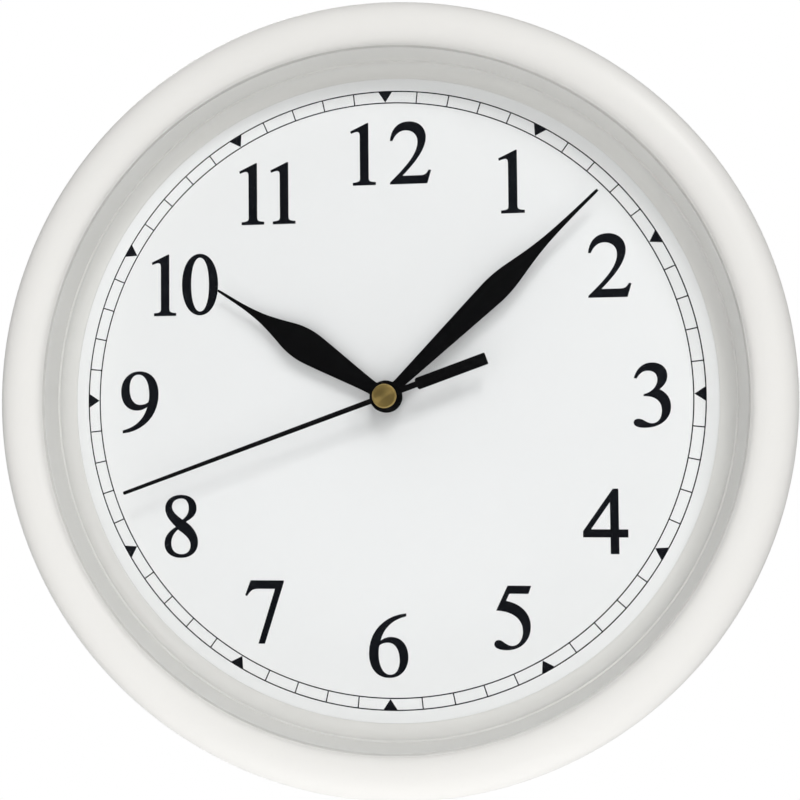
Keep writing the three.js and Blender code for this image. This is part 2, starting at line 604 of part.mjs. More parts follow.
function secondHand() {
  const blade = slab([[0.85, 0], [0.57, 90.8], [0.3, 91], [-0.3, 91], [-0.57, 90.8], [-0.85, 0]],
    SECOND_DEPTH, HAND_THICKNESS);
  const stem = slab([[-0.97, 0], [-0.97, -11], [0.97, -11], [0.97, 0]], SECOND_DEPTH, HAND_THICKNESS);
  const weight = slab([[-1.93, -34.4], [1.93, -34.4], [1.93, -11.3], [1.43, -10.8], [-1.43, -10.8],
    [-1.93, -11.3]], SECOND_DEPTH, HAND_THICKNESS);
  const hub = rod(3, SECOND_DEPTH, SECOND_DEPTH + HAND_THICKNESS, 32);
  return cut(join(blade, stem, weight, hub).rotate([0, SECOND_ANGLE, 0]), rod(1.35, 0, 60, 20));
}

const PRESS_GAP = 0.15;           // between a hand and the tube that it is pressed on
add('hour_hand', leafHand(HOUR_STATIONS, HOUR_DEPTH, HOUR_TUBE_RADIUS + PRESS_GAP, HOUR_ANGLE),
  FINISH.blackPaint());
add('minute_hand', leafHand(MINUTE_STATIONS, MINUTE_DEPTH, CANNON_RADIUS + PRESS_GAP, MINUTE_ANGLE),
  FINISH.blackPaint());
add('second_hand', secondHand(), FINISH.blackPaint());
add('second_hand_tube', tube(ARBOR_RADIUS + PRESS_GAP, 1.2, MINUTE_DEPTH + HAND_THICKNESS + 0.8,
  SECOND_DEPTH + HAND_THICKNESS, 20), FINISH.brass());
const CAP_RADIUS = 3.85;
const CAP_CHAMFER = 0.35;
const CAP_BACK = SECOND_DEPTH + HAND_THICKNESS + SEAT_GAP;
const CAP_FRONT = CAP_BACK + 1.45;
add('second_hand_cap', turned([[0, CAP_BACK], [CAP_RADIUS, CAP_BACK], [CAP_RADIUS, CAP_FRONT - CAP_CHAMFER],
  [CAP_RADIUS - CAP_CHAMFER, CAP_FRONT], [0, CAP_FRONT]], 36), FINISH.brass());

export default clock;
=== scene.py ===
# A round quartz wall clock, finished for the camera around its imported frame.
#
# The frame is in metres, +Z up. The clock hangs on the plane Y = 0 and its dial faces -Y. Sizes below
# are in millimetres about the hands' axis: x to the right, z up, and depth as the distance from the
# wall, so a depth d lies at Y = -d. The mesh helpers turn them into metres at the end.
import json
import math

import bmesh
import bpy
from mathutils import Matrix, Vector


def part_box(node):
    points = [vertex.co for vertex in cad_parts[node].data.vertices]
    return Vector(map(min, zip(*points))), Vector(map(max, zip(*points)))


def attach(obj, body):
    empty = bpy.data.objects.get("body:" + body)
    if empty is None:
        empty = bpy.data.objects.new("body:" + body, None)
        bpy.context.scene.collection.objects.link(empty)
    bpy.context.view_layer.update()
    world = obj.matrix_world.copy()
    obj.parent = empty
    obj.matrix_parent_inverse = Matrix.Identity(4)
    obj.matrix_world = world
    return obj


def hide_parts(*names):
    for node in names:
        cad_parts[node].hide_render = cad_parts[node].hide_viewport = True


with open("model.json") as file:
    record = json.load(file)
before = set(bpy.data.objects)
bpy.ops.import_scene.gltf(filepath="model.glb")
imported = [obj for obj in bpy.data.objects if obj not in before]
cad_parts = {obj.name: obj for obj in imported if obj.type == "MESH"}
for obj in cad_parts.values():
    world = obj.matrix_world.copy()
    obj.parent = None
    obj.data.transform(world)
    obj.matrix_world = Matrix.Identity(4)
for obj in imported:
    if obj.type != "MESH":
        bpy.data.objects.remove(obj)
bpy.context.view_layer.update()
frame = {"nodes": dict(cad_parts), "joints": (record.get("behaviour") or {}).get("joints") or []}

MM = 0.001
AXIS = Vector(next(j for j in frame["joints"] if j["name"] == "minute_hand_turn")["pos_m"])
TO_METRES = Matrix.Translation(AXIS) @ Matrix.Scale(MM, 4)


class Room:
    """Where a CAD node lies, in millimetres about the hands' axis."""

    def __init__(self, node):
        low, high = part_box(node)
        self.left, self.right = (low.x - AXIS.x) / MM, (high.x - AXIS.x) / MM
        self.bottom, self.top = (low.z - AXIS.z) / MM, (high.z - AXIS.z) / MM
        self.back, self.front = -high.y / MM, -low.y / MM
        self.x, self.z = (self.left + self.right) / 2, (self.bottom + self.top) / 2
        self.depth = (self.back + self.front) / 2
        self.radius = (self.right - self.left) / 2


RING, LENS, CARD, PLATE = Room("case_ring"), Room("lens"), Room("dial_card"), Room("dial_plate")
HOUSING, KNOB, BATTERY = Room("movement_housing"), Room("setting_knob"), Room("battery")
HANGER, CAP = Room("hanger_plate"), Room("second_hand_cap")
KEYHOLE_TOP = -AXIS.z / MM        # the wall screw bears at the frame's origin

# Sizes of the ring's section
FLANGE_RADIUS = 106.5             # opening of the ring over the dial
COVE_WIDTH = 4.0
COVE_HEIGHT = 3.8
WALL_RADIUS = 111.1
LIP_RADIUS = 111.3                # lip that covers the edge of the lens
CREST_RISE = 3.3                  # lip up to the crest
FLANGE_EDGE = 0.25                # thin inner edge of the flange, on the card
FLANGE_STEP = 0.45                # step from the cove up to the wall
CREST_RADIUS = 117.6
SHOULDER_DEPTH = 30.0
RING_WALL = 2.4
BOSS_CIRCLE = 118.8               # circle of the bosses that the plate is screwed to
BOSS_RADIUS = 3.6
BOSS_ANGLES = (45, 135, 225, 315)
FIT = 0.3                         # clearance between a piece and its neighbour
CENTRE_BORE = 4.7                 # hole in the card and the plate for the hands' tubes
COVER_FACE = HOUSING.back         # the lid's rear face is flush with the housing's rim
CREASE = 32                       # degrees between faces above which an edge shades sharp

# Sizes of the print on the card
TRACK_OUTER = 102.3
TRACK_INNER = 98.46
LINE_WIDTH = 0.40
MARKER_BASE = 4.7                 # outer side of an hour's triangle
NUMERAL_HEIGHT = 20.8
INK_DEPTH = 0.02


# ---- mesh helpers --------------------------------------------------------------------------------
def polar(radius, degrees):
    """Place at a radius and an angle clockwise from twelve, as (x, z)."""
    angle = math.radians(degrees)
    return radius * math.sin(angle), radius * math.cos(angle)


def sweep(centre, radii, start, end, steps):
    """Corners along an ellipse from one angle to another; 0 points outwards and 90 to the front."""
    corners = []
    for k in range(steps + 1):
        angle = math.radians(start + (end - start) * k / steps)
        corners.append((centre[0] + radii[0] * math.cos(angle), centre[1] + radii[1] * math.sin(angle), 0))
    return corners


def rounded(corners, steps=4):
    """Closed outline through (a, b, soft) corners, each eased over the length `soft` to both sides."""
    points = []
    for i, (a, b, soft) in enumerate(corners):
        here = Vector((a, b))
        if soft <= 0:
            points.append(here)
            continue
        before = Vector(corners[i - 1][:2]) - here
        after = Vector(corners[(i + 1) % len(corners)][:2]) - here
        start = here + before.normalized() * min(soft, before.length * 0.49)
        end = here + after.normalized() * min(soft, after.length * 0.49)
        for k in range(steps + 1):
            t = k / steps
            points.append(start * (1 - t) ** 2 + here * 2 * t * (1 - t) + end * t * t)
    return points


def revolve(mesh, profile, segments=48, place=(0, 0, 0), along="Y"):
    """Adds a solid of revolution to a bmesh from a closed (radius, distance) profile.

    Along Y the distance is a depth, and along X it is an x. `place` is the (x, depth, z) added on."""
    x, depth, z = place
    rings = []
    for radius, distance in (p[:2] for p in profile):
        ring = []
        for k in range(segments if radius > 1e-6 else 1):
            angle = 2 * math.pi * k / segments
            across, up = radius * math.sin(angle), radius * math.cos(angle)
            if along == "Y":
                ring.append(mesh.verts.new((x + across, -(depth + distance), z + up)))
            else:
                ring.append(mesh.verts.new((x + distance, across - depth, z + up)))
        rings.append(ring)
    for ring, following in zip(rings, rings[1:] + rings[:1]):
        if len(ring) == 1 and len(following) == 1:
            continue
        for k in range(segments):
            corners = [ring[k % len(ring)], ring[(k + 1) % len(ring)],
                       following[(k + 1) % len(following)], following[k % len(following)]]
            mesh.faces.new(list(dict.fromkeys(corners)))
    return mesh


def prism(mesh, outline, back, front, taper=1.0):
    """Adds a solid with an (x, z) outline between two depths; its back outline is scaled by `taper`."""
    middle = sum((Vector(p) for p in outline), Vector((0, 0))) / len(outline)
    rear = [middle + (Vector(p) - middle) * taper for p in outline]
    near = [mesh.verts.new((p[0], -front, p[1])) for p in outline]
    far = [mesh.verts.new((p[0], -back, p[1])) for p in rear]
    mesh.faces.new(near)
    mesh.faces.new(far[::-1])
    for k in range(len(outline)):
        following = (k + 1) % len(outline)
        mesh.faces.new((near[following], near[k], far[k], far[following]))
    return mesh


def block(mesh, x, depth, z, edge=0.3, segments=3):
    """Adds a box with rounded edges between (low, high) pairs in x, depth and z."""
    made = bmesh.ops.create_cube(mesh, size=1)["verts"]
    size = Vector((x[1] - x[0], depth[1] - depth[0], z[1] - z[0]))
    middle = Vector(((x[0] + x[1]) / 2, -(depth[0] + depth[1]) / 2, (z[0] + z[1]) / 2))
    for vert in made:
        vert.co = Vector(a * b for a, b in zip(vert.co, size)) + middle
    if edge > 0:
        edges = list({e for v in made for e in v.link_edges})
        bmesh.ops.bevel(mesh, geom=edges, offset=edge, segments=segments, profile=0.5, affect="EDGES")
    return mesh


def closed(mesh):
    """Faces of a bmesh made to point out."""
    bmesh.ops.recalc_face_normals(mesh, faces=mesh.faces)
    return mesh


def as_mesh(mesh, name):
    """A bmesh in millimetres as mesh data in millimetres."""
    data = bpy.data.meshes.new(name)
    closed(mesh).to_mesh(data)
    mesh.free()
    return data


def combined(data, tool, operation):
    """The first mesh joined with, or cut by, the second."""
    pair = [bpy.data.objects.new(part.name, part) for part in (data, tool)]
    for part in pair:
        bpy.context.scene.collection.objects.link(part)
    modifier = pair[0].modifiers.new("combine", "BOOLEAN")
    modifier.object, modifier.operation, modifier.solver = pair[1], operation, "MANIFOLD"
    graph = bpy.context.evaluated_depsgraph_get()
    result = bpy.data.meshes.new_from_object(pair[0].evaluated_get(graph))
    for part in pair:
        bpy.data.objects.remove(part)
    return result


def outlined(paths, back, front, edge=0.0, grow=0.0):
    """Plate with the outline and holes that closed paths draw in (x, z), between two depths.

    A path is a list of corners (x, z), or of anchors (handle, point, handle) for a curved outline.
    edge rounds the corners between face and side; grow moves the whole outline outwards."""
    curve = bpy.data.curves.new("outline", "CURVE")
    curve.dimensions, curve.fill_mode, curve.resolution_u = "2D", "BOTH", 10
    curve.extrude = (front - back) / 2 - edge
    curve.bevel_depth, curve.offset, curve.bevel_resolution = edge, grow - edge, 2
    for path in paths:
        if len(path[0]) == 3:
            spline = curve.splines.new("BEZIER")
            spline.bezier_points.add(len(path) - 1)
            for anchor, (before, point, after) in zip(spline.bezier_points, path):
                anchor.handle_left_type = anchor.handle_right_type = "FREE"
                anchor.co = (*point, 0)
                anchor.handle_left, anchor.handle_right = (*before, 0), (*after, 0)
        else:
            spline = curve.splines.new("POLY")
            spline.points.add(len(path) - 1)
            for anchor, point in zip(spline.points, path):
                anchor.co = (*point, 0, 1)
        spline.use_cyclic_u = True
    holder = bpy.data.objects.new("outline", curve)
    bpy.context.scene.collection.objects.link(holder)
    data = bpy.data.meshes.new_from_object(holder.evaluated_get(bpy.context.evaluated_depsgraph_get()))
    bpy.data.objects.remove(holder)
    mesh = bmesh.new()
    mesh.from_mesh(data)
    bmesh.ops.remove_doubles(mesh, verts=mesh.verts, dist=1e-4)
    bmesh.ops.transform(mesh, verts=mesh.verts, matrix=Matrix.Translation((0, -(back + front) / 2, 0))
                        @ Matrix.Rotation(math.pi / 2, 4, "X"))
    return as_mesh(mesh, "plate")


def wire(points, radius, name):
    """Round wire along points given as (x, depth, z)."""
    curve = bpy.data.curves.new(name, "CURVE")
    curve.dimensions, curve.bevel_depth, curve.bevel_resolution, curve.use_fill_caps = "3D", radius, 3, True
    spline = curve.splines.new("POLY")
    spline.points.add(len(points) - 1)
    for anchor, (x, depth, z) in zip(spline.points, points):
        anchor.co = (x, -depth, z, 1)
    holder = bpy.data.objects.new(name, curve)
    bpy.context.scene.collection.objects.link(holder)
    data = bpy.data.meshes.new_from_object(holder.evaluated_get(bpy.context.evaluated_depsgraph_get()))
    bpy.data.objects.remove(holder)
    return data


def merged(*parts):
    """Several meshes as one."""
    mesh = bmesh.new()
    for data in parts:
        mesh.from_mesh(data)
    bmesh.ops.remove_doubles(mesh, verts=mesh.verts, dist=1e-5)
    return as_mesh(mesh, "parts")


def refined(node, edge, segments=2):
    """A CAD node's shape with its flat faces made whole and its corners rounded."""
    mesh = bmesh.new()
    mesh.from_mesh(frame["nodes"][node].data)
    bmesh.ops.transform(mesh, verts=mesh.verts, matrix=TO_METRES.inverted())
    bmesh.ops.remove_doubles(mesh, verts=mesh.verts, dist=1e-3)
    bmesh.ops.dissolve_limit(mesh, angle_limit=math.radians(1), verts=mesh.verts, edges=mesh.edges)
    sharp = [e for e in mesh.edges if len(e.link_faces) == 2 and e.calc_face_angle() > math.radians(50)]
    bmesh.ops.bevel(mesh, geom=sharp, offset=edge, segments=segments, profile=0.5, affect="EDGES",
                    clamp_overlap=True)
    return as_mesh(mesh, node)


def piece(name, data, body, material, nodes=(), crease=CREASE, about=(0, 0)):
    """One piece of the clock from a mesh in millimetres, riding on a body.

    `about` is the (x, z) shaft that the piece's own origin stands on."""
    origin = AXIS + Vector((about[0] * MM, 0, about[1] * MM))
    data.transform(Matrix.Translation(-origin) @ TO_METRES)
    data.name = name
    data.shade_smooth()
    data.set_sharp_from_angle(angle=math.radians(crease))
    data.materials.clear()
    data.materials.append(material)
    made = bpy.data.objects.new(name, data)
    made.location = origin
    bpy.context.scene.collection.objects.link(made)
    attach(made, body)
    if nodes:
        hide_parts(*nodes)
    return made


# ---- shader groups -------------------------------------------------------------------------------
MIX_A, MIX_B, MIX_RESULT = 6, 7, 2    # the Mix node's colour sockets, after its sockets for numbers


def add(tree, kind, inputs=None, **settings):
    """A new shader node with its settings and the values or links of its inputs."""
    made = tree.nodes.new(kind)
    for key, value in settings.items():
        setattr(made, key, value)
    for key, value in (inputs or {}).items():
        if isinstance(value, bpy.types.NodeSocket):
            tree.links.new(value, made.inputs[key])
        else:
            made.inputs[key].default_value = value
    return made


def ramp(tree, factor, low, high, out_low=0.0, out_high=1.0):
    """A value stretched from one range to another and held inside it."""
    made = add(tree, "ShaderNodeMapRange", {"Value": factor, "From Min": low, "From Max": high,
                                            "To Min": out_low, "To Max": out_high})
    return made.outputs["Result"]


def maths(tree, operation, first, second=0.5, third=None):
    inputs = {0: first, 1: second} if third is None else {0: first, 1: second, 2: third}
    return add(tree, "ShaderNodeMath", inputs, operation=operation).outputs[0]


def new_group(name, inputs, outputs):
    """An empty shader group with float inputs and their usual values, and named float outputs."""
    tree = bpy.data.node_groups.new(name, "ShaderNodeTree")
    for label, value in inputs.items():
        socket = tree.interface.new_socket(label, in_out="INPUT", socket_type="NodeSocketFloat")
        socket.default_value = value
    for label in outputs:
        tree.interface.new_socket(label, in_out="OUTPUT", socket_type="NodeSocketFloat")
    return tree, tree.nodes.new("NodeGroupInput").outputs, tree.nodes.new("NodeGroupOutput").inputs


def noise(tree, place, scale, detail=3.0, roughness=0.5):
    made = add(tree, "ShaderNodeTexNoise", {"Vector": place, "Scale": scale, "Detail": detail,
                                            "Roughness": roughness})
    return made.outputs["Fac"]


def object_place(tree):
    return tree.nodes.new("ShaderNodeTexCoord").outputs["Object"]


def moulded_grain_group():
    """Spark-eroded mould texture: fine cells with softer waves below them. Scale is cells per metre."""
    tree, given, out = new_group("moulded_grain", {"Scale": 1800.0, "Softness": 0.5}, ("Height", "Mask"))
    place = object_place(tree)
    cells = add(tree, "ShaderNodeTexVoronoi", {"Vector": place, "Scale": given["Scale"]},
                feature="SMOOTH_F1").outputs["Distance"]
    waves = noise(tree, place, maths(tree, "MULTIPLY", given["Scale"], 0.31))
    height = add(tree, "ShaderNodeMix", {0: given["Softness"], 2: cells, 3: waves}).outputs[0]
    tree.links.new(height, out["Height"])
    tree.links.new(ramp(tree, waves, 0.35, 0.65), out["Mask"])
    return tree


def gloss_skin_group():
    """Skin of a smooth moulded or painted surface: long shallow waves, and a finer flow pattern."""
    tree, given, out = new_group("gloss_skin", {"Scale": 90.0}, ("Height", "Mask"))
    place = object_place(tree)
    waves = noise(tree, place, given["Scale"], 2.0, 0.4)
    flow = noise(tree, place, maths(tree, "MULTIPLY", given["Scale"], 9.0), 2.0, 0.5)
    tree.links.new(maths(tree, "ADD", waves, maths(tree, "MULTIPLY", flow, 0.12)), out["Height"])
    tree.links.new(ramp(tree, flow, 0.3, 0.7), out["Mask"])
    return tree


def handling_group():
    """Where dust has settled and hands have been: wide soft patches broken up by a finer pattern."""
    tree, given, out = new_group("handling", {"Scale": 18.0, "Amount": 1.0}, ("Patches", "Specks"))
    place = object_place(tree)
    patches = noise(tree, place, given["Scale"], 5.0, 0.6)
    fine = maths(tree, "MULTIPLY", given["Scale"], 40.0)
    specks = add(tree, "ShaderNodeTexVoronoi", {"Vector": place, "Scale": fine}).outputs["Distance"]
    tree.links.new(maths(tree, "MULTIPLY", ramp(tree, patches, 0.35, 0.7), given["Amount"]), out["Patches"])
    tree.links.new(maths(tree, "MULTIPLY", ramp(tree, specks, 0.10, 0.02), given["Amount"]), out["Specks"])
    return tree


def paper_group():
    """Calendered card: short fibres laid both ways over cloudy pulp."""
    tree, given, out = new_group("paper", {"Scale": 900.0}, ("Height", "Cloud"))
    place = object_place(tree)
    fibres = []
    for stretch in ((1.0, 1.0, 0.12), (0.12, 1.0, 1.0)):
        turned_place = add(tree, "ShaderNodeMapping", {"Vector": place, "Scale": stretch,
                                                       "Rotation": (0, 0.4, 0)}).outputs["Vector"]
        fibres.append(noise(tree, turned_place, given["Scale"], 4.0, 0.7))
    tree.links.new(maths(tree, "MULTIPLY", fibres[0], fibres[1]), out["Height"])
    tree.links.new(noise(tree, place, maths(tree, "MULTIPLY", given["Scale"], 0.06), 5.0, 0.6), out["Cloud"])
    return tree


def turned_lines_group():
    """Fine rings left by a lathe tool round the piece's own Y axis. Pitch is rings per metre."""
    tree, given, out = new_group("turned_lines", {"Pitch": 5000.0, "Drift": 0.2}, ("Height", "Mask"))
    parts = add(tree, "ShaderNodeSeparateXYZ", {0: object_place(tree)}).outputs
    across = add(tree, "ShaderNodeCombineXYZ", {"X": parts["X"], "Z": parts["Z"]}).outputs[0]
    radius = add(tree, "ShaderNodeVectorMath", {0: across}, operation="LENGTH").outputs["Value"]
    rings = maths(tree, "MULTIPLY", radius, given["Pitch"])
    line = add(tree, "ShaderNodeCombineXYZ", {"X": rings}).outputs[0]
    cut = noise(tree, line, 1.0, 3.0, 0.6)
    tree.links.new(cut, out["Height"])
    tree.links.new(maths(tree, "MULTIPLY", cut, given["Drift"]), out["Mask"])
    return tree


def brushed_group():
    """Rolled sheet: long fine scratches along X."""
    tree, given, out = new_group("brushed", {"Scale": 400.0}, ("Height", "Mask"))
    stretched = {"Vector": object_place(tree), "Scale": (0.03, 1.0, 1.0)}
    place = add(tree, "ShaderNodeMapping", stretched).outputs["Vector"]
    scratches = noise(tree, place, maths(tree, "MULTIPLY", given["Scale"], 8.0), 4.0, 0.7)
    tree.links.new(scratches, out["Height"])
    tree.links.new(ramp(tree, scratches, 0.3, 0.7), out["Mask"])
    return tree


def edge_wear_group():
    """Where convex corners have rubbed, broken up by a fine pattern."""
    tree, given, out = new_group("edge_wear", {"Scale": 500.0, "Amount": 1.0}, ("Mask",))
    point = tree.nodes.new("ShaderNodeNewGeometry").outputs["Pointiness"]
    corner = ramp(tree, point, 0.52, 0.60)
    broken = ramp(tree, noise(tree, object_place(tree), given["Scale"]), 0.4, 0.6)
    rubbed = maths(tree, "MULTIPLY", corner, broken)
    tree.links.new(maths(tree, "MULTIPLY", rubbed, given["Amount"]), out["Mask"])
    return tree


GRAIN = moulded_grain_group()
SKIN = gloss_skin_group()
HANDLING = handling_group()
PAPER = paper_group()
TURNED = turned_lines_group()
BRUSHED = brushed_group()
WEAR = edge_wear_group()


# ---- materials -----------------------------------------------------------------------------------
class Finish:
    """A material built on one Principled shader."""

    def __init__(self, name, **values):
        self.material = bpy.data.materials.new(name)
        self.material.use_nodes = True
        self.tree = self.material.node_tree
        self.shader = self.tree.nodes["Principled BSDF"]
        self.output = self.tree.nodes["Material Output"]
        for label, value in values.items():
            self.shader.inputs[label.replace("_", " ")].default_value = value

    def group(self, tree, **values):
        made = self.tree.nodes.new("ShaderNodeGroup")
        made.node_tree = tree
        for label, value in values.items():
            made.inputs[label].default_value = value
        return made.outputs

    def colour(self, *layers):
        """Base colour from a first colour and (mask, colour) layers over it."""
        if len(layers) == 1:
            self.shader.inputs["Base Color"].default_value = layers[0]
            return
        result = layers[0]
        for mask, colour in layers[1:]:
            result = add(self.tree, "ShaderNodeMix", {0: mask, MIX_A: result, MIX_B: colour},
                         data_type="RGBA").outputs[MIX_RESULT]
        self.tree.links.new(result, self.shader.inputs["Base Color"])

    def roughness(self, mask, low, high):
        self.tree.links.new(ramp(self.tree, mask, 0, 1, low, high), self.shader.inputs["Roughness"])

    def relief(self, *heights):
        """Bumps from (height, distance in millimetres) pairs, each laid over the one before."""
        normal = None
        for height, distance in heights:
            bump = add(self.tree, "ShaderNodeBump", {"Height": height, "Distance": distance * MM,
                                                     "Strength": 1.0})
            if normal is not None:
                self.tree.links.new(normal, bump.inputs["Normal"])
            normal = bump.outputs["Normal"]
        self.tree.links.new(normal, self.shader.inputs["Normal"])


def shade(red, green, blue):
    return (red, green, blue, 1.0)


WEAR_AMOUNT = 0.5                 # how far corners have rubbed, on every finish that wears


def case_plastic():
    finish = Finish("case_plastic", Specular_IOR_Level=0.45)
    skin = finish.group(SKIN, Scale=110)
    handling = finish.group(HANDLING, Scale=16, Amount=1)
    finish.colour(shade(0.77, 0.76, 0.735), (handling["Patches"], shade(0.755, 0.745, 0.72)),
                  (handling["Specks"], shade(0.68, 0.67, 0.645)))
    finish.roughness(handling["Patches"], 0.36, 0.46)
    grain = finish.group(GRAIN, Scale=2600, Softness=0.6)
    finish.relief((skin["Height"], 0.02), (grain["Height"], 0.004))
    return finish.material


def lens_clear():
    finish = Finish("lens_clear", Transmission_Weight=1.0, IOR=1.49, Base_Color=shade(0.985, 0.99, 0.99))
    handling = finish.group(HANDLING, Scale=14, Amount=1)
    finish.roughness(handling["Patches"], 0.0, 0.012)
    tree = finish.tree
    path = tree.nodes.new("ShaderNodeLightPath").outputs
    passing = maths(tree, "MAXIMUM", path["Is Shadow Ray"], path["Is Diffuse Ray"])
    clear = add(tree, "ShaderNodeBsdfTransparent", {"Color": shade(0.97, 0.972, 0.972)})
    whole = add(tree, "ShaderNodeMixShader", {0: passing, 1: finish.shader.outputs[0], 2: clear.outputs[0]})
    tree.links.new(whole.outputs[0], finish.output.inputs["Surface"])
    return finish.material


def dial_paper():
    finish = Finish("dial_paper", Specular_IOR_Level=0.3, Sheen_Weight=0.05)
    paper = finish.group(PAPER, Scale=900)
    finish.colour(shade(0.885, 0.89, 0.89), (paper["Cloud"], shade(0.87, 0.876, 0.878)))
    finish.roughness(paper["Cloud"], 0.5, 0.66)
    finish.relief((paper["Height"], 0.015))
    return finish.material


def print_ink():
    finish = Finish("print_ink", Specular_IOR_Level=0.12)
    paper = finish.group(PAPER, Scale=900)
    finish.colour(shade(0.003, 0.0035, 0.006), (paper["Cloud"], shade(0.006, 0.007, 0.011)))
    finish.roughness(paper["Cloud"], 0.38, 0.55)
    finish.relief((paper["Height"], 0.012))
    return finish.material


def hand_black():
    finish = Finish("hand_black", Specular_IOR_Level=0.07)
    skin = finish.group(SKIN, Scale=700)
    wear = finish.group(WEAR, Scale=900, Amount=WEAR_AMOUNT)
    finish.colour(shade(0.002, 0.002, 0.0025), (skin["Mask"], shade(0.004, 0.004, 0.0045)),
                  (wear["Mask"], shade(0.02, 0.02, 0.021)))
    finish.roughness(skin["Mask"], 0.42, 0.56)
    finish.relief((skin["Height"], 0.006))
    return finish.material


def cap_brass():
    finish = Finish("cap_brass", Metallic=0.86, Anisotropic=0.9, Anisotropic_Rotation=0.25)
    turned = finish.group(TURNED, Pitch=9000, Drift=1)
    finish.colour(shade(0.56, 0.4, 0.13), (turned["Mask"], shade(0.7, 0.51, 0.18)))
    finish.roughness(turned["Mask"], 0.36, 0.46)
    finish.relief((turned["Height"], 0.012))
    tangent = add(finish.tree, "ShaderNodeTangent", direction_type="RADIAL", axis="Y")
    finish.tree.links.new(tangent.outputs[0], finish.shader.inputs["Tangent"])
    return finish.material


def plate_plastic():
    finish = Finish("plate_plastic", Specular_IOR_Level=0.4)
    grain = finish.group(GRAIN, Scale=1500, Softness=0.4)
    handling = finish.group(HANDLING, Scale=22, Amount=1)
    finish.colour(shade(0.72, 0.715, 0.69), (handling["Patches"], shade(0.68, 0.672, 0.645)),
                  (handling["Specks"], shade(0.5, 0.49, 0.47)))
    finish.roughness(grain["Mask"], 0.44, 0.58)
    finish.relief((grain["Height"], 0.03))
    return finish.material


def movement_plastic():
    finish = Finish("movement_plastic", Specular_IOR_Level=0.45)
    grain = finish.group(GRAIN, Scale=2600, Softness=0.35)
    handling = finish.group(HANDLING, Scale=60, Amount=1)
    wear = finish.group(WEAR, Scale=700, Amount=WEAR_AMOUNT)
    finish.colour(shade(0.014, 0.014, 0.015), (handling["Patches"], shade(0.021, 0.021, 0.022)),
                  (wear["Mask"], shade(0.07, 0.07, 0.07)), (handling["Specks"], shade(0.09, 0.088, 0.085)))
    finish.roughness(grain["Mask"], 0.38, 0.56)
    finish.relief((grain["Height"], 0.035))
    return finish.material


def gear_acetal():
    finish = Finish("gear_acetal", Specular_IOR_Level=0.5, Subsurface_Weight=0.2, Subsurface_Scale=0.001)
    skin = finish.group(SKIN, Scale=900)
    finish.colour(shade(0.80, 0.78, 0.70), (skin["Mask"], shade(0.75, 0.73, 0.65)))
    finish.roughness(skin["Mask"], 0.32, 0.45)
    finish.relief((skin["Height"], 0.006))
    return finish.material


def zinc_steel():
    finish = Finish("zinc_steel", Metallic=1.0)
    brushed = finish.group(BRUSHED, Scale=400)
    handling = finish.group(HANDLING, Scale=120, Amount=1)
    wear = finish.group(WEAR, Scale=600, Amount=WEAR_AMOUNT)
    finish.colour(shade(0.5, 0.505, 0.51), (handling["Patches"], shade(0.54, 0.5, 0.41)),
                  (wear["Mask"], shade(0.75, 0.75, 0.75)))
    finish.roughness(brushed["Mask"], 0.28, 0.44)
    finish.relief((brushed["Height"], 0.006))
    return finish.material


def spring_steel():
    finish = Finish("spring_steel", Metallic=1.0)
    brushed = finish.group(BRUSHED, Scale=600)
    finish.colour(shade(0.66, 0.64, 0.60), (brushed["Mask"], shade(0.74, 0.72, 0.68)))
    finish.roughness(brushed["Mask"], 0.18, 0.32)
    finish.relief((brushed["Height"], 0.004))
    return finish.material


def coil_copper():
    finish = Finish("coil_copper", Metallic=1.0, Coat_Weight=0.4, Coat_Roughness=0.15)
    tree = finish.tree
    along = add(tree, "ShaderNodeSeparateXYZ", {0: object_place(tree)}).outputs["X"]
    turns = maths(tree, "SINE", maths(tree, "MULTIPLY", along, 26000.0))
    skin = finish.group(SKIN, Scale=500)
    finish.colour(shade(0.62, 0.26, 0.12), (skin["Mask"], shade(0.50, 0.18, 0.08)))
    finish.roughness(skin["Mask"], 0.25, 0.4)
    finish.relief((turns, 0.05))
    return finish.material


def board_green():
    finish = Finish("board_green", Specular_IOR_Level=0.5, Coat_Weight=0.3, Coat_Roughness=0.2)
    tree = finish.tree
    flat = {"Vector": object_place(tree), "Scale": (1.0, 0.0, 1.0)}
    place = add(tree, "ShaderNodeMapping", flat).outputs["Vector"]
    cells = add(tree, "ShaderNodeTexBrick", {"Vector": place, "Scale": 260.0,
                                             "Mortar Size": 0.03}).outputs["Fac"]
    grain = finish.group(GRAIN, Scale=2200, Softness=0.5)
    finish.colour(shade(0.012, 0.11, 0.035), (cells, shade(0.03, 0.19, 0.06)))
    finish.roughness(grain["Mask"], 0.3, 0.45)
    finish.relief((cells, 0.03), (grain["Height"], 0.008))
    return finish.material


def magnet_dark():
    finish = Finish("magnet_dark", Metallic=0.6)
    grain = finish.group(GRAIN, Scale=5000, Softness=0.3)
    finish.colour(shade(0.05, 0.05, 0.055), (grain["Mask"], shade(0.09, 0.09, 0.095)))
    finish.roughness(grain["Mask"], 0.4, 0.6)
    finish.relief((grain["Height"], 0.01))
    return finish.material


def battery_jacket():
    """Printed shrink film in two plain bands, darker over most of the cell."""
    finish = Finish("battery_jacket", Specular_IOR_Level=0.6, Coat_Weight=0.5, Coat_Roughness=0.08)
    tree = finish.tree
    along = add(tree, "ShaderNodeSeparateXYZ", {0: object_place(tree)}).outputs["X"]
    band_start = (BATTERY.right - 14) * MM + AXIS.x
    band = ramp(tree, along, band_start, band_start + 0.02 * MM)
    skin = finish.group(SKIN, Scale=260)
    finish.colour(shade(0.022, 0.075, 0.27), (skin["Mask"], shade(0.028, 0.09, 0.31)),
                  (band, shade(0.55, 0.57, 0.60)))
    finish.roughness(skin["Mask"], 0.26, 0.36)
    finish.relief((skin["Height"], 0.02))
    return finish.material


